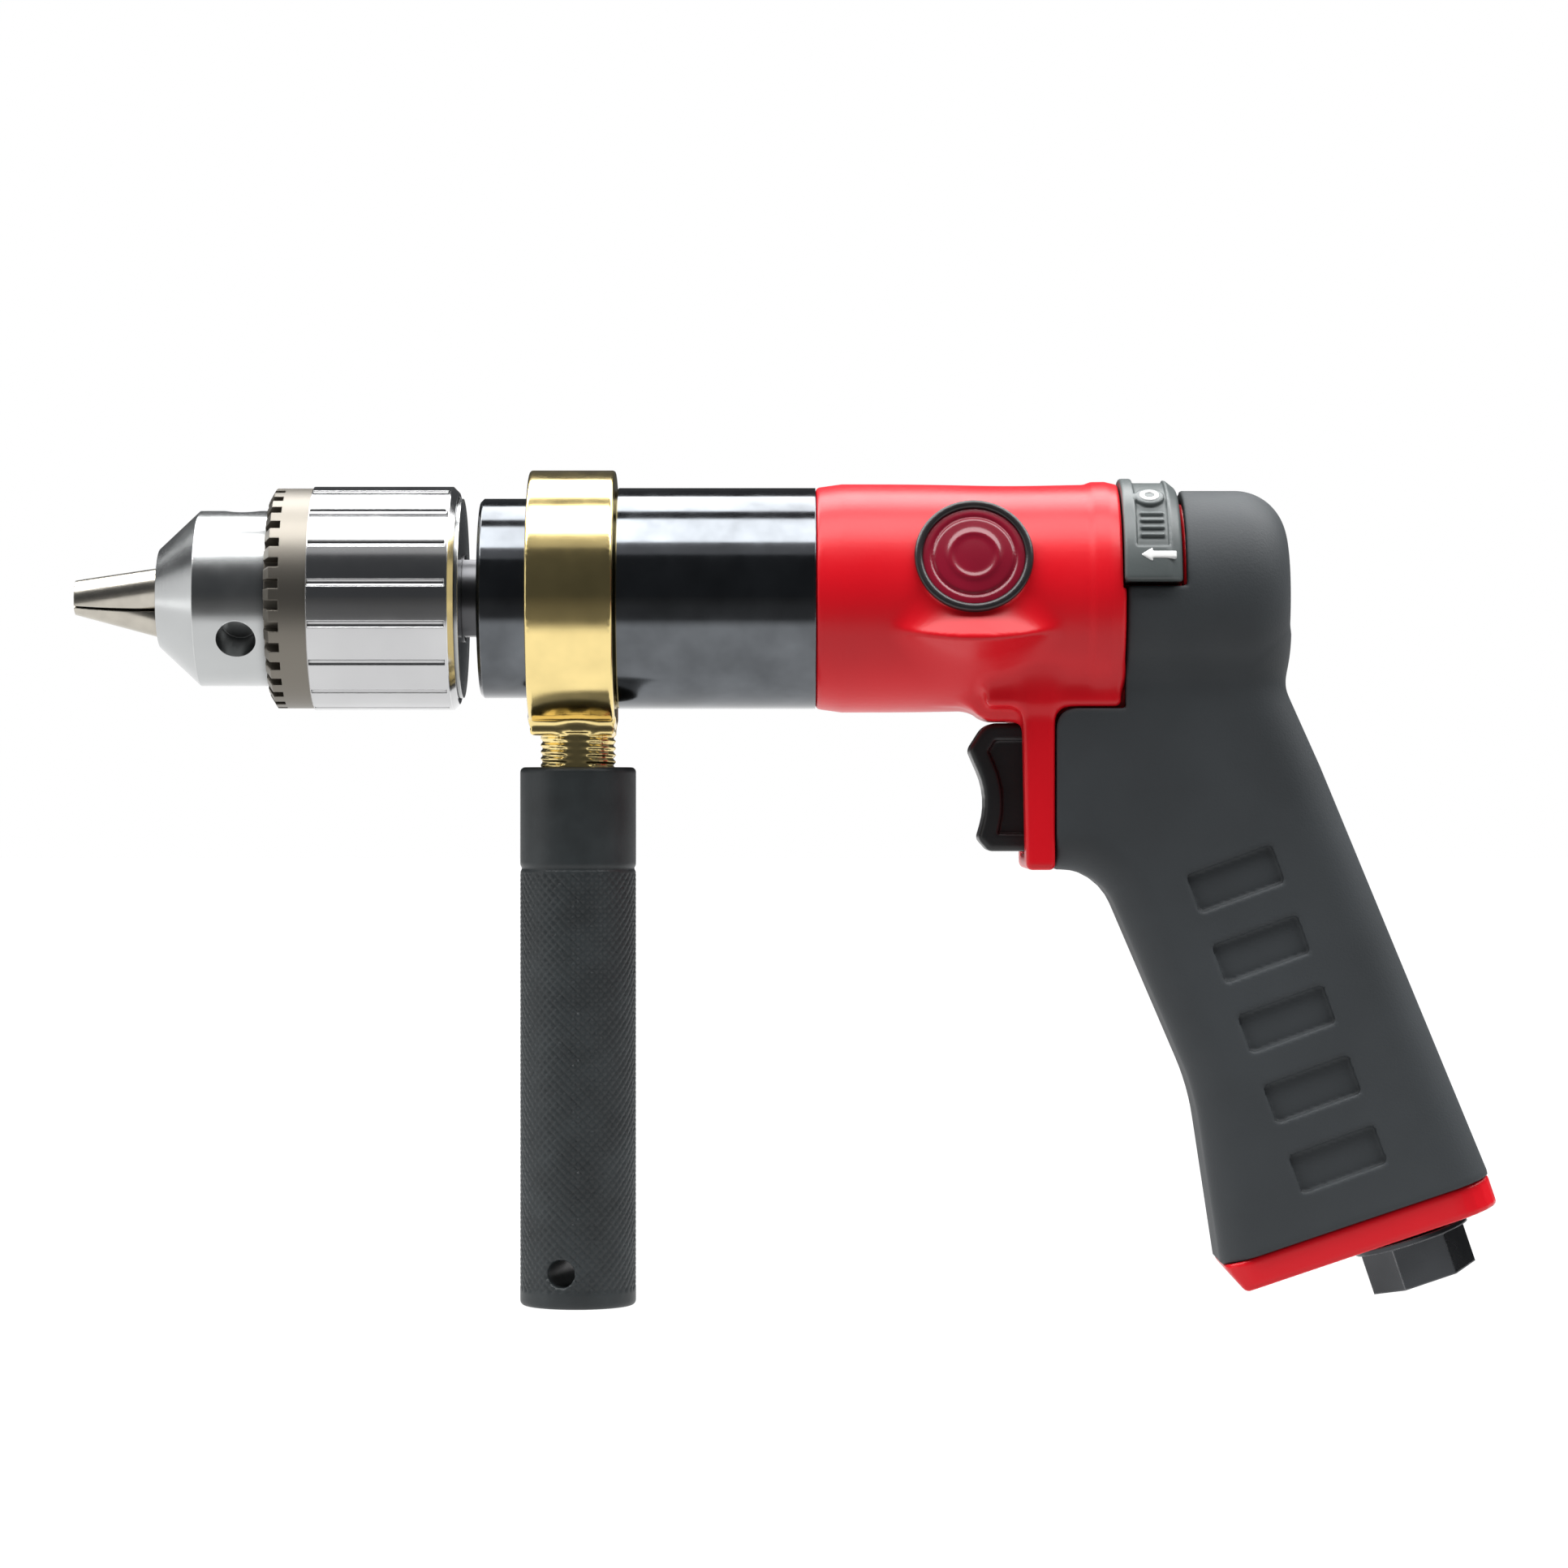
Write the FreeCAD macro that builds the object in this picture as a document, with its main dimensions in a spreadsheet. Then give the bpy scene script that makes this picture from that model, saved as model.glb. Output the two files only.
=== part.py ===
"""Reversible pistol-grip air drill with a keyed three-jaw chuck and a screw-on side handle.

Frame, in millimetres: the origin is on the spindle axis at the tips of the closed jaws.
+X runs from the jaws to the back of the drill, +Z is up and the grip hangs towards -Z.
"""
import FreeCAD, Part
import Sketcher
import math
import os

doc = FreeCAD.newDocument("air_drill")
sheet = doc.addObject("Spreadsheet::Sheet", "Sizes")
driving_sizes = []
nodes = []


class Size:
    """A length or angle with the sheet expression that it comes from."""

    def __init__(self, value, text):
        self.value = value
        self.text = text

    def __add__(self, other):
        other = as_size(other)
        return Size(self.value + other.value, "(%s + %s)" % (self.text, other.text))

    def __sub__(self, other):
        other = as_size(other)
        return Size(self.value - other.value, "(%s - %s)" % (self.text, other.text))

    def __mul__(self, factor):
        factor = as_size(factor)
        return Size(self.value * factor.value, "(%s * %s)" % (self.text, factor.text))

    def __truediv__(self, factor):
        factor = as_size(factor)
        return Size(self.value / factor.value, "(%s / %s)" % (self.text, factor.text))

    def __neg__(self):
        return Size(-self.value, "(-1 * %s)" % self.text)

    __radd__ = __add__
    __rmul__ = __mul__


def as_size(number):
    return number if isinstance(number, Size) else Size(number, "(%.9f)" % number)


def size(alias, value):
    """Put one driving size in the sheet and return it."""
    driving_sizes.append(alias)
    cell = "A%d" % len(driving_sizes)
    sheet.set(cell, str(value))
    sheet.setAlias(cell, alias)
    return Size(value, "Sizes." + alias)


def bind(thing, name, value):
    """Set a property and bind it to the sheet."""
    value = as_size(value)
    setattr(thing, name, value.value)
    thing.setExpression(name, value.text)


def place(thing, at=(0, 0, 0), rotation=None):
    """Place a sub-part: its base point is bound to the sheet, its rotation is fixed."""
    base = [as_size(part) for part in at]
    rotation = rotation or FreeCAD.Rotation()
    thing.Placement = FreeCAD.Placement(FreeCAD.Vector(*[part.value for part in base]), rotation)
    for letter, part in zip("xyz", base):
        thing.setExpression("Placement.Base." + letter, part.text)
    return thing


def node(thing, name):
    """Name a finished sub-part."""
    thing.Label = name
    nodes.append(thing)
    return thing


# --- sketches, turned and padded bodies ----------------------------------------------------------

X_AXIS = FreeCAD.Vector(1, 0, 0)
Y_AXIS = FreeCAD.Vector(0, 1, 0)
Z_AXIS = FreeCAD.Vector(0, 0, 1)
UPRIGHT = FreeCAD.Rotation()
ALONG_X = FreeCAD.Rotation(Y_AXIS, 90)
ALONG_Y = FreeCAD.Rotation(X_AXIS, -90)


def corner_round(before, corner, after, radius):
    """Tangent points, centre and turning side of a round corner between two straight lines."""
    into = (before - corner).normalize()
    out = (after - corner).normalize()
    half = into.getAngle(out) / 2
    middle = (into + out).normalize()
    centre = corner + middle * (radius / math.sin(half))
    reach = radius / math.tan(half)
    left_turn = (corner - before).cross(after - corner).z > 0
    return corner + into * reach, corner + out * reach, centre, left_turn


def pin_point(sketch, geometry, which, across, up):
    """Hold one sketch point at its two sizes from the sketch's origin."""
    for kind, axis, value in (("DistanceX", -2, across), ("DistanceY", -1, up)):
        if value.value == 0:
            sketch.addConstraint(Sketcher.Constraint("PointOnObject", geometry, which, axis))
        else:
            index = sketch.addConstraint(Sketcher.Constraint(kind, -1, 1, geometry, which, value.value))
            sketch.setExpression("Constraints[%d]" % index, value.text)


def outline_sketch(body, corners, plane="XZ_Plane"):
    """A closed outline. A corner is (across, up), or (across, up, radius) where it is rounded."""
    sketch = body.newObject("Sketcher::SketchObject", body.Name + "_outline")
    plane = next(thing for thing in body.Origin.OriginFeatures if thing.Role == plane)
    sketch.AttachmentSupport = (plane, "")
    sketch.MapMode = "FlatFace"
    corners = [tuple(as_size(number) for number in corner) for corner in corners]
    points = [FreeCAD.Vector(corner[0].value, corner[1].value, 0) for corner in corners]
    count = len(corners)
    starts, ends, rounds = list(points), list(points), {}
    for index, corner in enumerate(corners):
        if len(corner) == 3:
            after = points[(index + 1) % count]
            found = corner_round(points[index - 1], points[index], after, corner[2].value)
            ends[index], starts[index], rounds[index] = found[0], found[1], found[2:]
    for index in range(count):
        sketch.addGeometry(Part.LineSegment(starts[index], ends[(index + 1) % count]), False)
    for index, corner in enumerate(corners):
        last, following = (index - 1) % count, index
        if index not in rounds:
            sketch.addConstraint(Sketcher.Constraint("Coincident", last, 2, following, 1))
            pin_point(sketch, following, 1, corner[0], corner[1])
            continue
        centre, left_turn = rounds[index]
        first, second = (ends[index], starts[index]) if left_turn else (starts[index], ends[index])
        angles = [math.atan2(point.y - centre.y, point.x - centre.x) for point in (first, second)]
        circle = Part.Circle(centre, Z_AXIS, corner[2].value)
        arc = sketch.addGeometry(Part.ArcOfCircle(circle, angles[0], angles[1]), False)
        mark = sketch.addGeometry(Part.Point(points[index]), True)
        pin_point(sketch, mark, 1, corner[0], corner[1])
        sketch.addConstraint(Sketcher.Constraint("PointOnObject", mark, 1, last))
        sketch.addConstraint(Sketcher.Constraint("PointOnObject", mark, 1, following))
        sketch.addConstraint(Sketcher.Constraint("Tangent", last, 2, arc, 1 if left_turn else 2))
        sketch.addConstraint(Sketcher.Constraint("Tangent", arc, 2 if left_turn else 1, following, 1))
        held = sketch.addConstraint(Sketcher.Constraint("Radius", arc, corner[2].value))
        sketch.setExpression("Constraints[%d]" % held, corner[2].text)
    return sketch


def turned(name, outline, axis="H_Axis", angle=360.0):
    """A turned body about its own X axis (or its Z axis, with V_Axis), whole or a sector."""
    body = doc.addObject("PartDesign::Body", name)
    sketch = outline_sketch(body, outline)
    turn = body.newObject("PartDesign::Revolution", name + "_turn")
    turn.Profile = sketch
    turn.ReferenceAxis = (sketch, [axis])
    turn.Angle = angle
    turn.Midplane = angle < 360
    return body


def padded(name, outline, width, plane="XZ_Plane"):
    """A body of constant width, half of it on each side of its sketch plane."""
    body = doc.addObject("PartDesign::Body", name)
    sketch = outline_sketch(body, outline, plane)
    pad = body.newObject("PartDesign::Pad", name + "_pad")
    pad.Profile = sketch
    pad.Midplane = True
    bind(pad, "Length", width)
    return body


# --- plain solids and joining --------------------------------------------------------------------


def bar(radius, length, at=(0, 0, 0), rotation=ALONG_X):
    """A round bar or drill; it starts at its base point."""
    solid = doc.addObject("Part::Cylinder", "bar")
    bind(solid, "Radius", radius)
    bind(solid, "Height", length)
    return place(solid, at, rotation)


def block(lengths, low, rotation=UPRIGHT):
    """A square block from its low corner."""
    solid = doc.addObject("Part::Box", "block")
    for name, length in zip(("Length", "Width", "Height"), lengths):
        bind(solid, name, length)
    return place(solid, low, rotation)


def ball(radius, at):
    solid = doc.addObject("Part::Sphere", "ball")
    bind(solid, "Radius", radius)
    return place(solid, at)


def joined(name, solids):
    whole = doc.addObject("Part::MultiFuse", name)
    whole.Shapes = solids
    return whole


def group(name, solids):
    """Loose solids that share one node."""
    whole = doc.addObject("Part::Compound", name)
    whole.Links = solids
    return whole


def cut(name, base, tools):
    result = doc.addObject("Part::Cut", name)
    result.Base = base
    result.Tool = tools[0] if len(tools) == 1 else joined(name + "_tools", tools)
    return result


def common(name, base, tool):
    result = doc.addObject("Part::Common", name)
    result.Base = base
    result.Tool = tool
    return result


def around(count, first=0.0):
    """Directions (degrees, y, z) evenly spaced about the X axis, turning from +Z towards -Y."""
    for index in range(count):
        angle = first + 360.0 * index / count
        yield angle, -math.sin(math.radians(angle)), math.cos(math.radians(angle))


def about_x(angle):
    return FreeCAD.Rotation(X_AXIS, angle)


# --- driving sizes -------------------------------------------------------------------------------

# Chuck. Its three jaws lean in towards the tip, in bores that cross the axis.
jaw_lean = 15.0
lean_sin = math.sin(math.radians(jaw_lean))
lean_cos = math.cos(math.radians(jaw_lean))
lean_tan = math.tan(math.radians(jaw_lean))
jaw_radius = size("jaw_radius", 4.2)
jaw_cross = size("jaw_axis_crossing", 3.5)
jaw_start = size("jaw_start", -14.0)
jaw_length = size("jaw_length", 68.0)
jaw_end = size("jaw_end", 50.0)
jaw_trim = size("jaw_trim_radius", 14.7)
grip_bore = size("closed_grip_radius", 1.0)
nose = size("chuck_nose", 17.5)
nose_radius = size("chuck_nose_radius", 10.2)
cone_end = size("chuck_cone_end", 25.9)
chuck_radius = size("chuck_radius", 18.0)
key_hole = size("key_hole_radius", 4.05)
key_hole_x = size("key_hole_place", 34.6)
key_hole_floor = size("key_hole_floor_radius", 9.5)
nut_front = size("nut_groove_front", 41.8)
nut_back = size("nut_groove_back", 49.2)
nut_floor = size("nut_groove_radius", 14.2)
nut_radius = size("nut_radius", 19.2)
chuck_tail_radius = size("chuck_tail_radius", 18.5)
chuck_end = size("chuck_end", 79.8)
sleeve_front = size("sleeve_front", 40.6)
sleeve_end = size("sleeve_end", 79.0)
sleeve_radius = size("sleeve_radius", 22.96)
sleeve_room = size("sleeve_inner_radius", 20.8)
tooth_ring_radius = size("tooth_ring_radius", 22.6)
tooth_depth = size("sleeve_tooth_depth", 3.2)
tooth_gap = size("sleeve_tooth_gap", 2.0)
SLEEVE_TEETH = 32
flute_radius = size("sleeve_flute_radius", 0.8)
flute_front = size("sleeve_flute_front", 49.6)
flute_back = size("sleeve_flute_back", 77.2)
SLEEVE_FLUTES = 17
FIRST_FLUTE = 20.5
socket_radius = size("spindle_socket_radius", 6.35)
running_gap = size("running_gap", 0.05)

# Spindle, bearings and gear train.
shaft_radius = size("spindle_journal_radius", 7.5)
bearing_front = size("spindle_bearing_front", 88.0)
flange_front = size("output_flange_front", 103.0)
flange_width = size("output_flange_width", 8.0)
carrier_radius = size("carrier_radius", 16.4)
gear_module = size("gear_module", 0.9)
sun_teeth = 9
planet_teeth = 15
ring_teeth = 39
planet_centre = gear_module * ((sun_teeth + planet_teeth) / 2.0)
pin_radius = size("planet_pin_radius", 2.5)
output_gears_front = size("output_gears_front", 114.5)
output_gears_width = size("output_gears_width", 14.0)
input_disc_front = size("input_carrier_front", 130.2)
input_disc_width = size("input_carrier_width", 5.4)
input_gears_front = size("input_gears_front", 136.4)
input_gears_width = size("input_gears_width", 9.8)
ring_front = size("ring_gear_front", 113.8)
ring_back = size("ring_gear_back", 147.6)
ring_radius = size("ring_gear_radius", 20.5)

# Gear case and band.
case_front = size("case_front", 83.5)
neck_radius = size("neck_radius", 20.5)
neck_end = size("neck_end", 111.1)
case_radius = size("case_radius", 22.7)
housing_front = size("housing_front", 152.1)
spigot_end = size("spigot_end", 157.4)
spigot_radius = size("spigot_radius", 21.8)
band_front = size("band_front", 93.5)
band_width = size("band_width", 17.6)
band_radius = size("band_radius", 26.3)
stud_x = size("stud_place", 103.3)
stud_radius = size("stud_radius", 7.85)
stud_low = size("stud_low", -50.0)
handle_top = size("side_handle_top", -34.7)
handle_low = size("side_handle_low", -145.2)
handle_radius = size("side_handle_radius", 11.9)
tommy_radius = size("tommy_hole_radius", 2.85)
tommy_z = size("tommy_hole_height", -137.9)

# Motor.
plate_front = size("front_plate_front", 147.8)
motor_front = size("motor_front", 157.6)
motor_back = size("motor_back", 195.4)
plate_back = size("rear_plate_back", 203.4)
motor_bore = size("motor_bore_radius", 17.0)
motor_offset = size("motor_bore_offset", 1.4)
rotor_radius = size("rotor_radius", 15.2)
liner_radius = size("liner_radius", 20.4)
housing_bore = size("housing_bore_radius", 20.5)
housing_end = size("housing_end", 215.6)

# Reverse ring and valve.
valve_room = size("reverse_valve_room", 14.2)
valve_back = size("reverse_valve_room_back", 222.0)
ring_slot_front = size("reverse_slot_front", 213.9)
ring_slot_back = size("reverse_slot_back", 226.4)
ring_slot_floor = size("reverse_slot_floor", 16.0)
reverse_radius = size("reverse_ring_radius", 24.6)

# Badge and its boss, which lean back from the tool's side.
badge_lean = 71.0
badge_out = math.sin(math.radians(badge_lean))
badge_up = math.cos(math.radians(badge_lean))
badge_x = size("badge_place", 183.9)
badge_radius = size("badge_radius", 12.0)
badge_seat = size("badge_seat_distance", 23.6)

# Grip, trigger and throttle.
grip_width = size("grip_width", 33.0)
core_width = size("core_width", 28.0)
head_radius = size("head_radius", 22.1)
core_head_radius = size("core_head_radius", 19.4)
strap_front = size("strap_front", 194.4)
strap_back = size("strap_back", 200.6)
strap_low = size("strap_low", -55.6)
trigger_width = size("trigger_width", 15.6)
slot_width = size("trigger_slot_width", 16.4)
throttle_z = size("throttle_height", -38.0)
throttle_room = size("throttle_room_radius", 7.3)
throttle_front = size("throttle_room_front", 203.8)
throttle_back = size("throttle_room_back", 240.0)

# Base, inlet and muffler, in a tilted frame whose Z is the base's outward normal reversed.
base_x = size("base_place", 262.6)
base_z = size("base_height", -126.75)
base_tilt = 18.66
tilt = FreeCAD.Rotation(Y_AXIS, -base_tilt)
tilt_cos = math.cos(math.radians(base_tilt))
tilt_sin = math.sin(math.radians(base_tilt))
cap_thickness = size("cap_thickness", 6.3)
cap_front = size("cap_front", -29.4)
cap_back = size("cap_back", 28.2)
inlet_across = size("inlet_place", 10.0)
inlet_hex = size("inlet_across_flats", 19.0)
inlet_low = size("inlet_low", -17.0)
inlet_bore = size("inlet_bore_radius", 5.65)
inlet_shank = size("inlet_shank_radius", 8.0)
inlet_top = size("inlet_top", 14.0)
inlet_thread = size("inlet_thread_length", 16.0)


def tilted(thing, across, up, side=0.0):
    """Place a sub-part in the tilted frame of the grip's base."""
    across, up = as_size(across), as_size(up)
    at = (base_x + across * tilt_cos - up * tilt_sin, side, base_z + across * tilt_sin + up * tilt_cos)
    return place(thing, at, tilt)


# --- chuck ---------------------------------------------------------------------------------------


def jaw_axis_bar(name, radius, start, length, angle):
    """A bar along one jaw's leaning axis; start is counted from the crossing point."""
    turn = about_x(angle).multiply(FreeCAD.Rotation(Y_AXIS, 90 - jaw_lean))
    _, y, z = next(around(1, angle))
    base = (jaw_cross + start * lean_cos, start * (lean_sin * y), start * (lean_sin * z))
    solid = bar(radius, length, base, turn)
    solid.Label = name
    return solid


def make_jaws():
    """Three round jaws, each cut to its share of the circle, with a narrow grip face."""
    for index, (angle, _, _) in enumerate(around(3, 180.0)):
        blank = jaw_axis_bar("jaw_blank", jaw_radius, jaw_start, jaw_length, angle)
        share = turned("jaw_share_%d" % (index + 1), [
            (0, grip_bore), (jaw_end, grip_bore), (jaw_end, jaw_trim), (nut_front, jaw_trim),
            (nut_front, chuck_radius), (0, chuck_radius)], angle=112.0)
        place(share, rotation=about_x(angle))
        node(common("jaw_%d_shape" % (index + 1), blank, share), "chuck_jaw_%d" % (index + 1))


def make_chuck_body():
    """The turned body with its jaw bores and key holes, and the lock screw in its web."""
    web_front, web_back = size("chuck_web_front", 50.0), size("chuck_web_back", 56.0)
    throat = size("chuck_throat_radius", 6.6)
    tail = size("chuck_tail_flange", 74.6)
    flange = size("chuck_tail_flange_radius", 20.5)
    screw_hole = size("lock_screw_hole_radius", 3.1)
    body = turned("chuck_blank", [
        (nose, throat), (nose, nose_radius), (cone_end, chuck_radius), (nut_front, chuck_radius),
        (nut_front, nut_floor), (nut_back, nut_floor), (nut_back, chuck_tail_radius),
        (tail, chuck_tail_radius), (tail, flange), (chuck_end, flange), (chuck_end, socket_radius),
        (web_back, socket_radius), (web_back, screw_hole), (web_front, screw_hole), (web_front, throat)])
    jaw_bore = jaw_radius + running_gap
    start, length = jaw_start - 2.0, jaw_length + 20.0
    drills = [jaw_axis_bar("jaw_bore", jaw_bore, start, length, angle) for angle, _, _ in around(3, 180.0)]
    for angle, y, z in around(3):
        at = (key_hole_x, key_hole_floor * y, key_hole_floor * z)
        drills.append(bar(key_hole, chuck_radius, at, about_x(angle)))
    node(cut("chuck_body_shape", body, drills), "chuck_body")
    head = size("lock_screw_head_radius", 5.4)
    screw = turned("lock_screw", [
        (web_front - 4.6, 1.6), (web_front - 4.6, head), (web_front, head), (web_front, screw_hole - 0.15),
        (70.0, screw_hole - 0.15), (70.0, 0), (web_front - 2.0, 0), (web_front - 2.0, 1.6)])
    node(screw, "chuck_lock_screw")


def make_sleeve():
    """Key ring and fluted sleeve in one, and the split nut pressed inside it."""
    lip = size("sleeve_lip_radius", 18.2)
    sleeve = turned("sleeve_blank", [
        (sleeve_front, lip), (sleeve_front, tooth_ring_radius - 2.0), (sleeve_front + 1.2, tooth_ring_radius),
        (nut_back + 0.2, tooth_ring_radius), (nut_back + 0.2, sleeve_radius),
        (sleeve_end - 1.2, sleeve_radius), (sleeve_end, sleeve_radius - 1.2), (sleeve_end, sleeve_room),
        (nut_back + 0.2, sleeve_room), (nut_back + 0.2, nut_radius + 0.05),
        (sleeve_front + 1.2, nut_radius + 0.05), (sleeve_front + 1.2, lip)])
    cutters = []
    for angle, y, z in around(SLEEVE_TEETH, 180.0 / SLEEVE_TEETH):
        low_y, low_z = math.cos(math.radians(angle)), math.sin(math.radians(angle))
        floor = nut_radius + 0.25
        at = (sleeve_front - 1.0, floor * y - tooth_gap * (low_y / 2), floor * z - tooth_gap * (low_z / 2))
        cutters.append(block((tooth_depth + 1.0, tooth_gap, 5.0), at, about_x(angle)))
    flute_depth_line = sleeve_radius + flute_radius * 0.45
    for _, y, z in around(SLEEVE_FLUTES, FIRST_FLUTE):
        at = (flute_front, flute_depth_line * y, flute_depth_line * z)
        cutters.append(bar(flute_radius, flute_back - flute_front, at))
    node(cut("sleeve_shape", sleeve, cutters), "chuck_sleeve")
    gap = size("nut_side_gap", 0.15)
    front, back = nut_front + gap, nut_back - gap
    cone = size("nut_cone_gap", 4.6)
    ring = turned("nut_blank", [
        (front, (front - jaw_cross) * lean_tan + cone), (front, nut_radius), (back, nut_radius),
        (back, (back - jaw_cross) * lean_tan + cone)])
    split = block((12.0, 50.0, 0.4), (nut_front - 2.0, -25.0, -0.2))
    node(cut("nut_shape", ring, [split]), "chuck_scroll_nut")


# --- spindle and bearings ------------------------------------------------------------------------


def ball_bearing(name, front, width, bore, outer, ball_radius, count):
    """Three nodes: an outer ring, an inner ring, and the balls in their cage."""
    pitch = (bore + outer) / 2
    shoulder = ball_radius * 0.62
    race = ball_radius + 0.05
    middle = front + width / 2
    for part, low, high in (("outer", pitch + shoulder, outer), ("inner", bore, pitch - shoulder)):
        ring = turned(name + part, [(front, low), (front, high), (front + width, high), (front + width, low)])
        track = doc.addObject("Part::Torus", "track")
        bind(track, "Radius1", pitch)
        bind(track, "Radius2", race)
        place(track, (middle, 0, 0), ALONG_X)
        node(cut(name + part + "_ring", ring, [track]), name + "_" + part + "_ring")
    balls = [ball(ball_radius, (middle, pitch * y, pitch * z)) for _, y, z in around(count)]
    cage_low, cage_high = pitch - shoulder * 0.55, pitch + shoulder * 0.55
    reach = ball_radius * 1.25
    cage = turned(name + "cage", [
        (middle - reach, cage_low), (middle - reach, cage_high), (middle + reach, cage_high),
        (middle + reach, cage_low)])
    pockets = [bar(ball_radius + 0.1, shoulder * 2, (middle, (pitch - shoulder) * y, (pitch - shoulder) * z),
                   about_x(angle)) for angle, y, z in around(count)]
    shape = group(name + "balls", balls + [cut(name + "cage_shape", cage, pockets)])
    node(shape, name + "_balls")


def planet_pins(name, front, back):
    """Three pins from front to back, in one node."""
    pins = [bar(pin_radius, back - front, (front, planet_centre * y, planet_centre * z))
            for _, y, z in around(3)]
    node(group(name + "_set", pins), name)


def make_spindle():
    """Spindle with its carrier flange, the output planets' pins, the seal and the bearing."""
    collar = size("spindle_collar_radius", 9.0)
    shoulder = size("spindle_shoulder_radius", 9.2)
    thread_front = size("spindle_thread_front", 57.0)
    screw_room = size("spindle_screw_room_radius", 3.0)
    flange_back = flange_front + flange_width
    blank = turned("spindle_blank", [
        (thread_front, screw_room), (thread_front, socket_radius - 0.05), (chuck_end, socket_radius - 0.05),
        (chuck_end, collar), (case_front - 0.6, collar), (case_front - 0.6, shaft_radius),
        (bearing_front + 9.0, shaft_radius), (bearing_front + 9.0, shoulder), (flange_front, shoulder),
        (flange_front, carrier_radius), (flange_back, carrier_radius), (flange_back, 0),
        (72.0, 0), (72.0, screw_room)])
    holes = [bar(pin_radius, flange_width, (flange_front + 1.0, planet_centre * y, planet_centre * z))
             for _, y, z in around(3)]
    flats = [block((2.4, 20.0, 4.0), (chuck_end + 0.4, -10.0, low)) for low in (7.8, -11.8)]
    node(cut("spindle_shape", blank, holes + flats), "spindle")
    planet_pins("output_planet_pins", flange_front + 1.0, output_gears_front + output_gears_width + 0.4)
    seal = turned("seal", [
        (case_front + 0.4, shaft_radius + 0.1), (case_front + 0.4, 13.98), (bearing_front - 0.3, 13.98),
        (bearing_front - 0.3, 12.6), (case_front + 1.6, 12.6), (case_front + 1.6, shaft_radius + 1.6),
        (bearing_front - 1.5, shaft_radius + 1.1), (bearing_front - 1.5, shaft_radius + 0.1)])
    node(seal, "spindle_seal")
    ball_bearing("spindle_bearing", bearing_front, size("spindle_bearing_width", 9.0), shaft_radius,
                 size("spindle_bearing_outer_radius", 16.0), size("spindle_ball_radius", 2.4), 9)


# --- gears ---------------------------------------------------------------------------------------


def involute(base, radius):
    """Polar angle of an involute that leaves its base circle at zero."""
    ratio = base / max(base, radius)
    return math.tan(math.acos(ratio)) - math.acos(ratio)


def tooth_outline(teeth, tip, root, thickness):
    """Corners of a spur gear's outline; tip is outside root, or inside it on a ring gear."""
    pitch = gear_module.value * teeth / 2
    base = pitch * math.cos(math.radians(20))
    inside = tip < root
    at_pitch = thickness / (2 * pitch) + (-1 if inside else 1) * involute(base, pitch)
    flank = [root + (tip - root) * step / 4 for step in range(5)]
    corners = []
    for tooth in range(teeth):
        middle = 2 * math.pi * tooth / teeth
        half = [at_pitch + (1 if inside else -1) * involute(base, radius) for radius in flank]
        rising = [(radius, middle - part) for radius, part in zip(flank, half)]
        falling = [(radius, middle + part) for radius, part in zip(reversed(flank), reversed(half))]
        corners += rising + falling
    return [FreeCAD.Vector(0, -radius * math.sin(angle), radius * math.cos(angle))
            for radius, angle in corners]


def toothed_face(teeth, tip, root, thickness):
    corners = tooth_outline(teeth, tip, root, thickness)
    return Part.Face(Part.makePolygon(corners + corners[:1]))


def solid_feature(name, shape, at=(0, 0, 0), turn=UPRIGHT):
    """A gear's solid, which no sketch feature makes; its sizes are read from the sheet."""
    feature = doc.addObject("Part::Feature", name)
    feature.Shape = shape
    return place(feature, at, turn)


tooth_thickness = math.pi / 2 * gear_module.value - 0.12
stub = 0.64 * gear_module.value
pinion_tip = gear_module.value * (sun_teeth / 2 + 1)
pinion_root = gear_module.value * sun_teeth / 2 - stub - 0.25
planet_tip = gear_module.value * planet_teeth / 2 + stub
planet_root = planet_centre.value - pinion_tip - 0.2
ring_tip = gear_module.value * ring_teeth / 2 - stub
ring_root = planet_centre.value + planet_tip + 0.22


def pinion(width):
    """A sun pinion with one tooth pointing up."""
    face = toothed_face(sun_teeth, pinion_tip, pinion_root, tooth_thickness)
    return face.extrude(FreeCAD.Vector(width, 0, 0))


def make_planets(name, front, width):
    """Three planets on a needle-bushed bore, each with a tooth pointing straight outwards."""
    face = toothed_face(planet_teeth, planet_tip, planet_root, tooth_thickness)
    blank = face.extrude(FreeCAD.Vector(width.value, 0, 0))
    bore = Part.makeCylinder(pin_radius.value + running_gap.value, width.value, FreeCAD.Vector(), X_AXIS)
    for index, (angle, y, z) in enumerate(around(3)):
        at = (front, planet_centre * y, planet_centre * z)
        gear = solid_feature("%s_%d_shape" % (name, index + 1), blank.cut(bore), at, about_x(angle))
        node(gear, "%s_%d" % (name, index + 1))


def make_ring_gear():
    """One internal gear for both stages, with a tooth space over each planet's outer tooth."""
    length = ring_back.value - ring_front.value
    rim = Part.makeCylinder(ring_radius.value, length, FreeCAD.Vector(), X_AXIS)
    face = toothed_face(ring_teeth, ring_tip, ring_root, tooth_thickness)
    shape = rim.cut(face.extrude(FreeCAD.Vector(length, 0, 0)))
    half_pitch = 180.0 / ring_teeth
    node(solid_feature("ring_gear_shape", shape, (ring_front, 0, 0), about_x(half_pitch)), "ring_gear")


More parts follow.
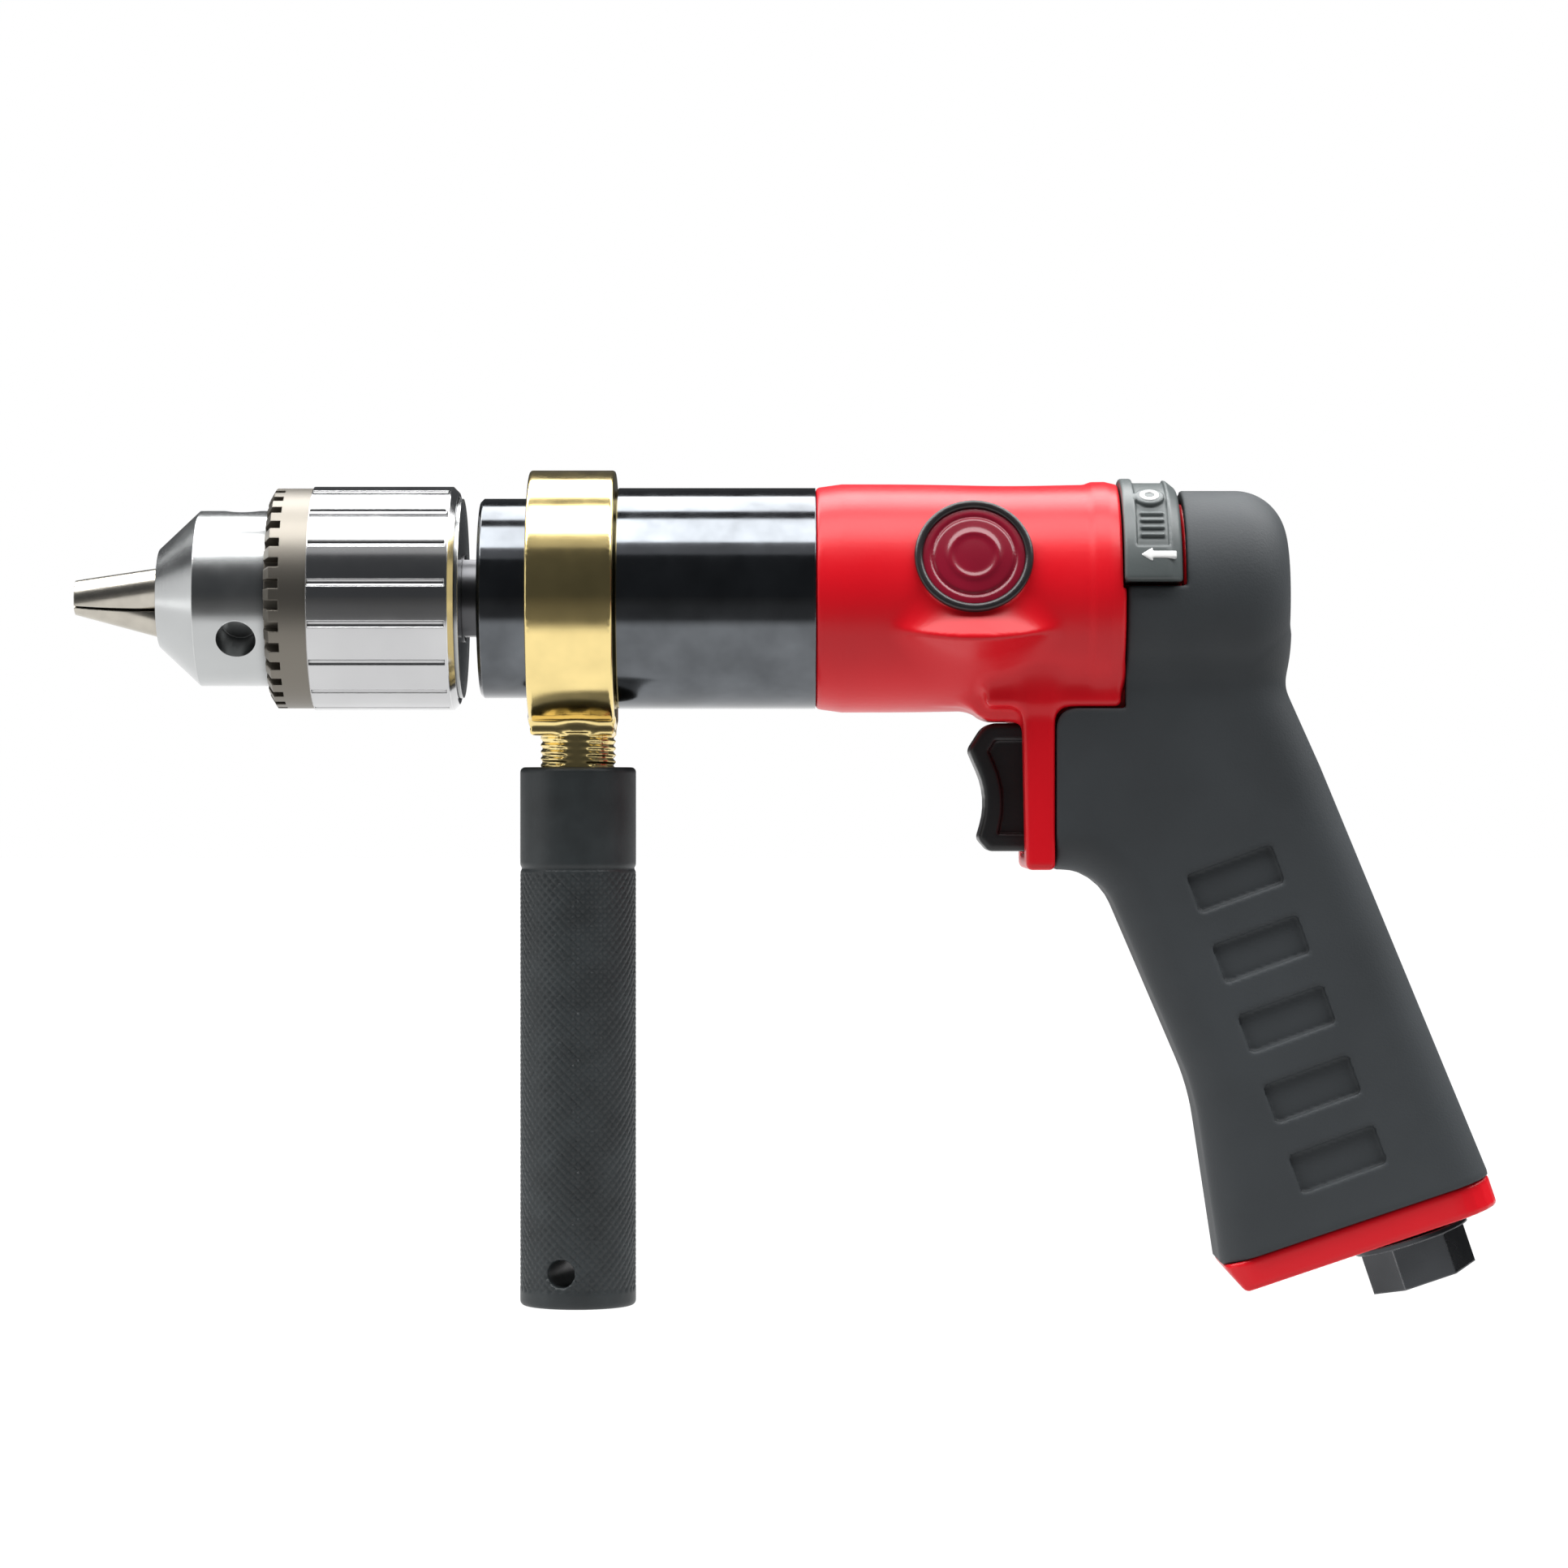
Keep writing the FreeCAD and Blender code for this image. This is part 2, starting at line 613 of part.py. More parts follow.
def make_input_carrier():
    """The first stage's carrier, whose long pinion is the second stage's sun."""
    front = ring_front.value - 0.6
    sun = solid_feature("output_sun", pinion(input_disc_front.value - front + 1.0), (front, 0, 0))
    disc = turned("input_disc", [
        (input_disc_front, 0), (input_disc_front, carrier_radius),
        (input_disc_front + input_disc_width, carrier_radius), (input_disc_front + input_disc_width, 0)])
    holes = [bar(pin_radius, input_disc_width, (input_disc_front + 1.0, planet_centre * y, planet_centre * z))
             for _, y, z in around(3)]
    drilled = cut("input_disc_drilled", disc, holes)
    node(joined("input_carrier_shape", [drilled, sun]), "input_carrier")
    planet_pins("input_planet_pins", input_disc_front + 1.0, input_gears_front + input_gears_width + 0.4)


# --- air motor -----------------------------------------------------------------------------------


def make_gear_case():
    """Hardened case: bearing and seal seats in front, the ring gear's bore and a spigot behind."""
    seal_seat = size("seal_seat_radius", 14.0)
    bearing_seat = size("bearing_seat_radius", 16.02)
    neck_bore = size("neck_bore_radius", 17.3)
    case_bore = size("case_bore_radius", 20.55)
    edge = 0.7
    outline = [
        (case_front, seal_seat), (case_front, neck_radius - edge), (case_front + edge, neck_radius),
        (neck_end, neck_radius), (neck_end, case_radius - edge), (neck_end + edge, case_radius),
        (housing_front, case_radius), (housing_front, spigot_radius), (spigot_end, spigot_radius),
        (spigot_end, case_bore), (ring_front - 0.2, case_bore), (ring_front - 0.2, neck_bore),
        (bearing_front + 9.0, neck_bore), (bearing_front + 9.0, bearing_seat),
        (bearing_front, bearing_seat), (bearing_front, seal_seat)]
    node(turned("gear_case_blank", outline), "gear_case")


def make_rotor():
    """Rotor, its shafts and its cut pinion are one piece, slotted for five sliding vanes."""
    front_shaft = size("rotor_front_shaft_radius", 5.0)
    rear_shaft = size("rotor_rear_shaft_radius", 4.0)
    slot_floor = size("vane_slot_floor", 9.4)
    slot_width_vane = size("vane_slot_width", 1.7)
    vane = size("vane_thickness", 1.6)
    front, back = motor_front + 0.3, motor_back - 0.3
    blank = turned("rotor_blank", [
        (ring_back - 0.6, 0), (ring_back - 0.6, front_shaft), (front, front_shaft), (front, rotor_radius),
        (back, rotor_radius), (back, rear_shaft), (plate_back, rear_shaft), (plate_back, 0)])
    slots, vanes = [], []
    for angle, y, z in around(5):
        side_y, side_z = math.cos(math.radians(angle)), math.sin(math.radians(angle))
        turn = about_x(angle)
        slot_at = (front - 0.2, slot_floor * y - slot_width_vane * (side_y / 2),
                   slot_floor * z - slot_width_vane * (side_z / 2))
        slots.append(block((38.0, slot_width_vane, 7.0), slot_at, turn))
        foot = slot_floor + 0.2
        vane_at = (front + 0.1, foot * y - vane * (side_y / 2), foot * z - vane * (side_z / 2))
        vanes.append(block((back - front - 0.2, vane, rotor_radius - slot_floor - 0.3), vane_at, turn))
    pinion_front = input_gears_front.value - 0.6
    teeth = solid_feature("input_sun", pinion(ring_back.value - 0.2 - pinion_front), (pinion_front, 0, 0))
    node(joined("rotor_shape", [cut("rotor_slotted", blank, slots), teeth]), "rotor")
    node(group("vane_set", vanes), "rotor_vanes")


def make_motor():
    """End plates, the offset cylinder, the rotor and its two bearings."""
    front_seat = size("rotor_front_bearing_radius", 13.0)
    rear_seat = size("rotor_rear_bearing_radius", 11.0)
    bearing_back = plate_front + 8.0
    node(turned("front_plate", [
        (plate_front, front_seat), (bearing_back, front_seat), (bearing_back, 5.8), (motor_front, 5.8),
        (motor_front, liner_radius), (plate_front, liner_radius)]), "motor_front_plate")
    node(turned("rear_plate", [
        (motor_back, 4.8), (motor_back + 1.0, 4.8), (motor_back + 1.0, rear_seat), (plate_back, rear_seat),
        (plate_back, liner_radius), (motor_back, liner_radius)]), "motor_rear_plate")
    length = motor_back - motor_front
    liner = bar(liner_radius, length, (motor_front, 0, 0))
    bore = bar(motor_bore, length + 2.0, (motor_front - 1.0, 0, motor_offset))
    ports = [block((3.0, 50.0, 3.0), (motor_front + along, -25.0, -6.0)) for along in (9.0, 17.4, 25.8)]
    node(cut("motor_cylinder_shape", liner, [bore] + ports), "motor_cylinder")
    make_rotor()
    ball_bearing("rotor_front_bearing", plate_front, size("front_bearing_width", 8.0),
                 size("front_bearing_bore", 5.0), front_seat, size("front_ball_radius", 2.3), 7)
    ball_bearing("rotor_rear_bearing", motor_back + 1.0, size("rear_bearing_width", 7.0),
                 size("rear_bearing_bore", 4.0), rear_seat, size("rear_ball_radius", 1.98), 7)


# --- motor housing and grip ----------------------------------------------------------------------


def ring_window(name, low, front_gap=0.0, back_gap=0.0):
    """The cut over the top half of the head that the reverse ring turns in."""
    return turned(name, [
        (ring_slot_front - front_gap, low), (ring_slot_back + back_gap, low),
        (ring_slot_back + back_gap, 30.0), (ring_slot_front - front_gap, 30.0)], angle=176.0)


def core_corners(foot):
    """The grip core's outline seen from the side, with the corners of its lower end."""
    core_low = strap_low + 2.4
    return [(198.0, -15.0), (198.0, core_low), (209.0, core_low, 12.0), (231.9, -100.7, 50.0), *foot,
            (253.0, -37.5), (245.6, -20.0, 14.0), (246.0, 0), (214.0, 0)]


def make_housing():
    """Cast housing: barrel, trigger shroud, strap, grip core and the back of the head in one."""
    barrel = turned("barrel", [
        (housing_front, 0), (housing_front, 22.9), (housing_front + 1.4, 23.6), (158.4, 24.0),
        (170.0, 23.6), (191.7, 23.2), (208.4, 23.9), (212.6, 23.7), (housing_end, 22.4), (housing_end, 0)])
    head = turned("head_core", [
        (housing_end - 2.0, 0), (housing_end - 2.0, core_head_radius), (246.0, core_head_radius, 8.5),
        (246.0, 0)])
    core = padded("grip_core", core_corners([(237.2, -134.9), (285.6, -118.55)]), core_width)
    strap = padded("strap", [
        (strap_front, -18.0), (strap_front, -46.0), (195.6, strap_low), (strap_back, strap_low),
        (strap_back, -18.0)], grip_width)
    shroud = padded("trigger_shroud", [
        (178.5, -20.0), (181.7, -23.3), (184.0, -25.2), (196.0, -25.2), (196.0, -20.0)],
        size("shroud_width", 22.0))
    boss_length = 5.4
    boss_foot = badge_seat - boss_length
    boss = bar(badge_radius + 0.7, boss_length, (badge_x, -badge_out * boss_foot, badge_up * boss_foot),
               about_x(badge_lean))
    whole = joined("housing_blank", [barrel, head, core, strap, shroud, boss])
    tools = [
        bar(spigot_radius + 0.05, motor_front - housing_front, (housing_front, 0, 0)),
        bar(housing_bore, plate_back - housing_front + 0.1, (housing_front, 0, 0)),
        bar(valve_room, valve_back - housing_front, (housing_front, 0, 0)),
        ring_window("ring_slot", ring_slot_floor),
        turned("drive_pin_slot", [(218.4, 13.0), (222.0, 13.0), (222.0, 17.0), (218.4, 17.0)], angle=76.0),
        block((strap_back + 3.0 - strap_front, slot_width, 27.2),
              (strap_front - 0.4, -slot_width / 2, -52.4)),
        bar(throttle_room, throttle_back - throttle_front, (throttle_front, 0, throttle_z)),
        bar(2.4, 8.0, (throttle_front - 4.0, 0, throttle_z)),
        tilted(bar(inlet_shank, inlet_top + 2.0), inlet_across, -1.0),
        tilted(bar(5.5, 96.0), inlet_across, inlet_top),
        tilted(block((24.0, 22.0, 9.0), (0, 0, 0)), -24.5, 0, -11.0),
        tilted(bar(2.5, 112.0), -14.0, 4.0, -10.9),
        tilted(bar(2.5, 112.0), -14.0, 4.0, 10.9),
        bar(3.4, 26.0, (214.5, 0, throttle_z + 2.0), UPRIGHT),
    ]
    node(cut("motor_housing_shape", whole, tools), "motor_housing")


def make_grip():
    """Soft black overmould round the head and the grip core, with five pads on each side."""
    head = turned("grip_head", [
        (housing_end + 0.2, 0), (housing_end + 0.2, head_radius), (248.7, head_radius, 10.5), (248.7, 0)])
    handle = padded("grip_handle", [
        (strap_back + 0.1, -22.0), (strap_back + 0.1, strap_low), (210.0, strap_low, 12.0),
        (229.3, -100.7, 50.0), (234.6, -135.8), (289.2, -117.3), (255.0, -34.5), (248.0, -19.0, 14.0),
        (248.7, 0), (216.2, 0), (216.2, -22.0)], grip_width)
    head_room = turned("head_room", [
        (housing_end - 2.0, 0), (housing_end - 2.0, core_head_radius + 0.02),
        (246.02, core_head_radius + 0.02, 8.5), (246.02, 0)])
    core_foot = [(237.2, -134.9), (236.0, -140.0), (286.2, -121.0), (285.6, -118.55)]
    core_room = padded("core_room", core_corners(core_foot), core_width + 0.04)
    barrel_room = bar(24.2, 8.0, (housing_end - 7.95, 0, 0))
    pad_depth = 0.8
    pad_turn = FreeCAD.Rotation(Y_AXIS, -20.2)
    pads = [block((18.5, pad_depth, 8.0), (229.5 + 5.17 * step, face, -63.7 - 14.2 * step), pad_turn)
            for step in range(5) for face in (grip_width / 2 - pad_depth, grip_width / -2)]
    tools = [head_room, core_room, barrel_room, ring_window("grip_window", 15.0, 0.0, 0.3)] + pads
    node(cut("grip_shape", joined("grip_blank", [head, handle]), tools), "grip_sleeve")


def make_badge():
    """A plain domed disc set in the boss on the side of the barrel."""
    disc = turned("badge_disc", [
        (0, 0), (badge_radius, 0), (badge_radius, 0.7), (badge_radius - 0.6, 1.2), (badge_radius - 1.6, 1.2),
        (badge_radius - 2.0, 0.8), (0, 1.1)], axis="V_Axis")
    place(disc, (badge_x, -badge_out * badge_seat, badge_up * badge_seat), about_x(badge_lean))
    node(disc, "badge")


# --- reverse ring --------------------------------------------------------------------------------


def make_reverse():
    """A saddle that turns over the head and drives the rotary valve through a pin."""
    front, back = ring_slot_front + 0.3, ring_slot_back - 0.4
    low = ring_slot_floor + 0.3
    saddle = turned("reverse_saddle", [
        (front, low), (back, low), (back, 22.4), (back - 2.8, reverse_radius), (front, reverse_radius)],
        angle=142.0)
    rest = size("reverse_rest_angle", 12.0)
    place(saddle, rotation=about_x(rest.value))
    pin_y, pin_z = -math.sin(math.radians(rest.value)), math.cos(math.radians(rest.value))
    pin_at = (220.2, 12.0 * pin_y, 12.0 * pin_z)
    dimple = ball(2.0, (224.2, 15.2 * math.sin(math.radians(30.0)), 15.2 * math.cos(math.radians(30.0))))
    pin_room = bar(1.5, 6.5, pin_at, about_x(rest.value))
    node(cut("reverse_ring_shape", saddle, [pin_room, dimple]), "reverse_ring")
    node(bar(1.5, 6.2, pin_at, about_x(rest.value)), "reverse_drive_pin")
    valve = turned("reverse_cup", [
        (plate_back + 0.5, 9.5), (plate_back + 0.5, valve_room - 0.06), (valve_back - 0.5, valve_room - 0.06),
        (valve_back - 0.5, 4.0), (valve_back - 4.0, 4.0), (valve_back - 4.0, 9.5)])
    ports = [block((7.0, 40.0, 5.0), (207.0, -20.0, -2.5))]
    pin_hole = bar(1.5, 8.0, pin_at, about_x(rest.value))
    node(cut("reverse_valve_shape", valve, ports + [pin_hole]), "reverse_valve")


# --- trigger and throttle ------------------------------------------------------------------------


def make_trigger():
    """Finger trigger, its stem, and the poppet that the stem lifts off its seat."""
    back = size("trigger_back", 196.8)
    trigger = padded("trigger_pad", [
        (back, -25.7), (186.6, -25.7, 4.0), (183.1, -31.2, 2.0), (187.4, -41.0, 16.0), (185.0, -49.4, 1.6),
        (187.2, -51.9, 1.6), (back, -51.9)], trigger_width)
    stem_hole = bar(2.0, 8.0, (back - 6.0, 0, throttle_z))
    node(cut("trigger_shape", trigger, [stem_hole]), "trigger")
    valve_front = size("throttle_valve_front", 223.1)
    node(bar(2.0, valve_front - back + 6.0, (back - 6.0, 0, throttle_z)), "trigger_stem")
    bush = turned("bush", [
        (throttle_front + 0.2, 2.05), (throttle_front + 0.2, throttle_room - 0.02),
        (221.4, throttle_room - 0.02), (221.4, 4.4), (210.0, 4.4), (210.0, 2.05)])
    place(bush, (0, 0, throttle_z))
    port = bar(3.4, 10.0, (214.5, 0, throttle_z + 1.0), UPRIGHT)
    node(cut("throttle_bush_shape", bush, [port]), "throttle_bush")
    seal = turned("throttle_seal_ring", [(221.4, 4.6), (221.4, 7.2), (223.0, 7.2), (223.0, 4.6)])
    node(place(seal, (0, 0, throttle_z)), "throttle_seal")
    valve = turned("poppet", [
        (valve_front, 0), (valve_front, 6.2), (226.0, 6.2), (226.0, 2.2), (231.0, 2.2), (231.0, 0)])
    node(place(valve, (0, 0, throttle_z)), "throttle_valve")
    make_throttle_spring()


def make_throttle_spring():
    """A coil spring from the poppet to the end of the throttle's room."""
    wire = size("throttle_wire_radius", 0.45)
    coil = size("throttle_coil_radius", 4.4)
    helix = doc.addObject("Part::Helix", "spring_line")
    bind(helix, "Radius", coil)
    bind(helix, "Pitch", 2.6)
    bind(helix, "Height", throttle_back - 226.0 - wire * 2 - 0.2)
    ring = doc.addObject("Part::Circle", "spring_wire")
    bind(ring, "Radius", wire)
    place(ring, (coil, 0, 0), FreeCAD.Rotation(X_AXIS, 90))
    spring = doc.addObject("Part::Sweep", "spring_sweep")
    doc.recompute()
    spring.Sections = [ring]
    spring.Spine = (helix, ["Edge%d" % (index + 1) for index in range(len(helix.Shape.Edges))])
    spring.Solid = True
    spring.Frenet = True
    place(spring, (226.1 + wire.value, 0, throttle_z), ALONG_X)
    node(spring, "throttle_spring")


# --- inlet, cap and muffler ----------------------------------------------------------------------


def make_base():
    """Slotted cap with its felt, and the inlet bushing with its seal and screen."""
    cap = padded("cap_plate", [
        (cap_front, -15.5, 5.0), (cap_back, -15.5, 9.0), (cap_back, 15.5, 9.0), (cap_front, 15.5, 5.0)],
        cap_thickness, "XY_Plane")
    tilted(cap, 0, -cap_thickness / 2 - 0.02)
    hole = tilted(bar(inlet_shank + 0.1, 20.0), inlet_across, -12.0)
    slots = [tilted(block((2.2, 18.0, 20.0), (0, 0, 0)), across, -12.0, -9.0)
             for across in (-24.0, -19.5, -15.0, -10.5)]
    node(cut("exhaust_cap_shape", cap, [hole] + slots), "exhaust_cap")
    node(tilted(block((23.0, 21.0, 8.0), (0, 0, 0)), -24.0, 0.4, -10.5), "muffler_felt")
    corner = inlet_hex / 2 / math.cos(math.radians(30))
    shank_low = -cap_thickness - 1.9
    hexagon = padded("inlet_hexagon", [
        (corner * math.cos(math.radians(60 * step)), corner * math.sin(math.radians(60 * step)))
        for step in range(6)], shank_low - inlet_low, "XY_Plane")
    tilted(hexagon, inlet_across, (inlet_low + shank_low) / 2)
    shank = tilted(bar(inlet_shank - 0.05, inlet_top - shank_low), inlet_across, shank_low)
    flange = tilted(bar(12.0, 1.2), inlet_across, -cap_thickness - 2.0)
    thread = tilted(bar(inlet_bore, inlet_thread + 5.0), inlet_across, inlet_low - 5.0)
    way_in = tilted(bar(4.7, 40.0), inlet_across, inlet_low)
    blank = joined("inlet_blank", [hexagon, shank, flange])
    node(cut("inlet_shape", blank, [thread, way_in]), "inlet_bushing")
    seal = tilted(turned("inlet_washer", [
        (inlet_shank + 0.1, 0), (10.6, 0), (10.6, 0.7), (inlet_shank + 0.1, 0.7)], axis="V_Axis"),
        inlet_across, -cap_thickness - 0.76)
    node(seal, "inlet_seal")
    screen = turned("screen_cup", [
        (4.0, 0), (4.65, 0), (4.65, 0.6), (4.3, 0.6), (3.4, 9.0), (0, 9.0), (0, 8.5), (2.9, 8.5)],
        axis="V_Axis")
    node(tilted(screen, inlet_across, 1.0), "inlet_screen")


# --- band and side handle ------------------------------------------------------------------------


def make_band():
    """Brass-plated band whose two ends turn down into the halves of a threaded stud."""
    ring = turned("band_ring", [
        (band_front, neck_radius + 0.06), (band_front, band_radius - 0.5),
        (band_front + 0.6, band_radius), (band_front + band_width - 0.6, band_radius),
        (band_front + band_width, band_radius - 0.5), (band_front + band_width, neck_radius + 0.06)])
    stud = bar(stud_radius, -stud_low - 21.5, (stud_x, 0, stud_low), UPRIGHT)
    shoulder = padded("band_shoulder", [
        (band_front, -19.0), (band_front + 0.4, -24.5), (stud_x - stud_radius, -27.6),
        (stud_x + stud_radius, -27.6), (band_front + band_width - 0.4, -24.5),
        (band_front + band_width, -19.0)], 14.0)
    split = block((30.0, 1.4, 40.0), (band_front - 4.0, -0.7, stud_low - 1.0))
    room = bar(neck_radius + 0.06, 30.0, (band_front - 4.0, 0, 0))
    faces = [block((20.0, 6.0, 24.0), (stud_x - 10.0, low, stud_low - 1.0)) for low in (7.2, -13.2)]
    blank = joined("band_blank", [ring, stud, shoulder])
    node(cut("band_shape", blank, [split, room] + faces), "clamp_band")


def make_side_handle():
    """Turned bar that screws on the stud, with a cross hole for a tommy bar."""
    edge = 1.2
    socket = stud_radius + 0.06
    blank = turned("side_handle_blank", [
        (0, handle_low), (handle_radius - edge, handle_low), (handle_radius, handle_low + edge),
        (handle_radius, handle_top - 0.8), (handle_radius - 0.8, handle_top), (socket, handle_top),
        (socket, stud_low - 2.0), (0, stud_low - 2.0)], axis="V_Axis")
    place(blank, (stud_x, 0, 0))
    hole_turn = 15.5
    out_x, out_y = math.sin(math.radians(hole_turn)), math.cos(math.radians(hole_turn))
    reach = 16.0
    hole = bar(tommy_radius, 2 * reach, (stud_x - reach * out_x, -reach * out_y, tommy_z),
               FreeCAD.Rotation(Z_AXIS, -hole_turn).multiply(ALONG_Y))
    node(cut("side_handle_shape", blank, [hole]), "side_handle")


# --- build, test and write -----------------------------------------------------------------------

doc.recompute()
make_jaws()
make_chuck_body()
make_sleeve()
make_spindle()
make_planets("output_planet", output_gears_front, output_gears_width)
make_ring_gear()
make_input_carrier()
make_planets("input_planet", input_gears_front, input_gears_width)
make_gear_case()
make_motor()
make_housing()
make_grip()
make_badge()
make_reverse()
make_trigger()
make_base()
make_band()
make_side_handle()
doc.recompute()

failed = [thing.Label for thing in doc.Objects if "Invalid" in thing.State or "Error" in thing.State]
if failed:
    raise RuntimeError("failed: %s" % failed)
os.makedirs("parts", exist_ok=True)
for thing in nodes:
    if thing.Shape.isNull() or not thing.Shape.isValid():
        raise RuntimeError("%s has no good shape" % thing.Label)
for thing in nodes:
    thing.Shape.exportStep("parts/%s.step" % thing.Label)
    print("%-32s %2d solid(s) %10.1f mm3" % (thing.Label, len(thing.Shape.Solids), thing.Shape.Volume))
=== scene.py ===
"""Looks of a reversible pistol-grip air drill, made piece by piece round its fixed CAD frame."""
import math

import bpy
import numpy as np
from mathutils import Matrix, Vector


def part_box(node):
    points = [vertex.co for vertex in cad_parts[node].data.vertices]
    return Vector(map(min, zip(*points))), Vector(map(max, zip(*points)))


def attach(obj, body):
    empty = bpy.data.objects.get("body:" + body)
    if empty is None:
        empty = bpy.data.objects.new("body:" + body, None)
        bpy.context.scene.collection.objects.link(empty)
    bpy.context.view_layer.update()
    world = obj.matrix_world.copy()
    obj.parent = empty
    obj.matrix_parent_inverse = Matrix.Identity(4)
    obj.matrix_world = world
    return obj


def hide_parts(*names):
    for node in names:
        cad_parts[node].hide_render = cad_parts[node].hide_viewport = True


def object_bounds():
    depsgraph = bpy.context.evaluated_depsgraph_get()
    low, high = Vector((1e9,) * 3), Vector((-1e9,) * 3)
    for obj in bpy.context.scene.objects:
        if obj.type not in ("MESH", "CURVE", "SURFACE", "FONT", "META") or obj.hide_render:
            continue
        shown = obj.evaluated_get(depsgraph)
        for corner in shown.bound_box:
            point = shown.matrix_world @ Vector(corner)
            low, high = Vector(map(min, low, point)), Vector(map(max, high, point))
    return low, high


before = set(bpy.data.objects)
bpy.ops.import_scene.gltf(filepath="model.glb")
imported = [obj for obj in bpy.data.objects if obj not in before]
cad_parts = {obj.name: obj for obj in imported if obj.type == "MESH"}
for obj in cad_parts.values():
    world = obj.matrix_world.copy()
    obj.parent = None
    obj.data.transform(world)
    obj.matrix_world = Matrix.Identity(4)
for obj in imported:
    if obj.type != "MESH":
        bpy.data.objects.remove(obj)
cad_low, cad_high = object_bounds()

# --- Studio -------------------------------------------------------------------------------------
# A wide pale floor under the tool and a white sweep behind it. Two long softboxes hang overhead
# with a narrow gap between them, and dim ones fill the front and the chuck's end. The room in
# front is dark, and so is the floor's far front, so that polished metal has a dark middle.
scene = bpy.context.scene
scene.view_settings.view_transform = "Standard"
middle_x = (cad_low.x + cad_high.x) / 2
view_height = (cad_low.z + cad_high.z) / 2 + 0.0213
view_distance = 1.0
frame_width = 0.3226

camera_data = bpy.data.cameras.new("camera")
camera_data.sensor_width = 36.0
camera_data.lens = camera_data.sensor_width * view_distance / frame_width
camera = bpy.data.objects.new("camera", camera_data)
camera.location = (middle_x, -view_distance, view_height)
camera.rotation_euler = (math.radians(90), 0, 0)
scene.collection.objects.link(camera)
scene.camera = camera

world = bpy.data.worlds.new("sweep")
world.use_nodes = True
world_nodes, world_links = world.node_tree.nodes, world.node_tree.links
world_nodes.clear()
seen_sweep = world_nodes.new("ShaderNodeBackground")
seen_sweep.inputs["Color"].default_value = (1, 1, 1, 1)
dim_room = world_nodes.new("ShaderNodeBackground")
dim_room.inputs["Color"].default_value = (0.06, 0.063, 0.067, 1)
seen_or_lit = world_nodes.new("ShaderNodeMixShader")
ray_kind = world_nodes.new("ShaderNodeLightPath")
world_out = world_nodes.new("ShaderNodeOutputWorld")
world_links.new(ray_kind.outputs["Is Camera Ray"], seen_or_lit.inputs["Fac"])
world_links.new(dim_room.outputs[0], seen_or_lit.inputs[1])
world_links.new(seen_sweep.outputs[0], seen_or_lit.inputs[2])
world_links.new(seen_or_lit.outputs[0], world_out.inputs["Surface"])
scene.world = world

FLOOR_REACH = 6.0
floor_mesh = bpy.data.meshes.new("floor")
floor_z = cad_low.z - 0.0004
corner_signs = ((-1, -1), (1, -1), (1, 1), (-1, 1))
floor_corners = [(x * FLOOR_REACH, y * FLOOR_REACH, floor_z) for x, y in corner_signs]
floor_mesh.from_pydata(floor_corners, [], [(0, 1, 2, 3)])
floor = bpy.data.objects.new("floor", floor_mesh)
scene.collection.objects.link(floor)
floor_paint = bpy.data.materials.new("pale_floor")
floor_paint.use_nodes = True
floor_nodes, floor_links = floor_paint.node_tree.nodes, floor_paint.node_tree.links
floor_shader = floor_nodes["Principled BSDF"]
floor_shader.inputs["Base Color"].default_value = (0.03, 0.03, 0.03, 1)
floor_shader.inputs["Roughness"].default_value = 0.9
floor_shader.inputs["Specular IOR Level"].default_value = 0.0
floor_shader.inputs["Emission Color"].default_value = (1, 1, 1, 1)
floor_place = floor_nodes.new("ShaderNodeSeparateXYZ")
floor_links.new(floor_nodes.new("ShaderNodeTexCoord").outputs["Object"], floor_place.inputs[0])
table_edge = floor_nodes.new("ShaderNodeMapRange")
table_edge.inputs["From Min"].default_value = -0.34
table_edge.inputs["From Max"].default_value = -0.24
table_edge.inputs["To Min"].default_value = 0.08
table_edge.inputs["To Max"].default_value = 1.05
floor_links.new(floor_place.outputs["Y"], table_edge.inputs["Value"])
floor_glow = floor_nodes.new("ShaderNodeMath")
floor_glow.operation = "MAXIMUM"
floor_links.new(table_edge.outputs["Result"], floor_glow.inputs[0])
seen_floor = floor_nodes.new("ShaderNodeMath")
seen_floor.operation = "MULTIPLY"
floor_links.new(floor_nodes.new("ShaderNodeLightPath").outputs["Is Camera Ray"], seen_floor.inputs[0])
seen_floor.inputs[1].default_value = 0.995
floor_links.new(seen_floor.outputs["Value"], floor_glow.inputs[1])
floor_links.new(floor_glow.outputs["Value"], floor_shader.inputs["Emission Strength"])
floor_mesh.materials.append(floor_paint)


def softbox(name, centre, size, aim, radiance):
    """One rectangular lamp of a given brightness, facing a point."""
    lamp = bpy.data.lights.new(name, "AREA")
    lamp.shape = "RECTANGLE"
    lamp.size, lamp.size_y = size
    lamp.energy = radiance * math.pi * size[0] * size[1]
    holder = bpy.data.objects.new(name, lamp)
    holder.location = centre
    way = Vector(aim) - Vector(centre)
    holder.rotation_euler = way.to_track_quat("-Z", "Y").to_euler()
    holder.visible_camera = False
    scene.collection.objects.link(holder)


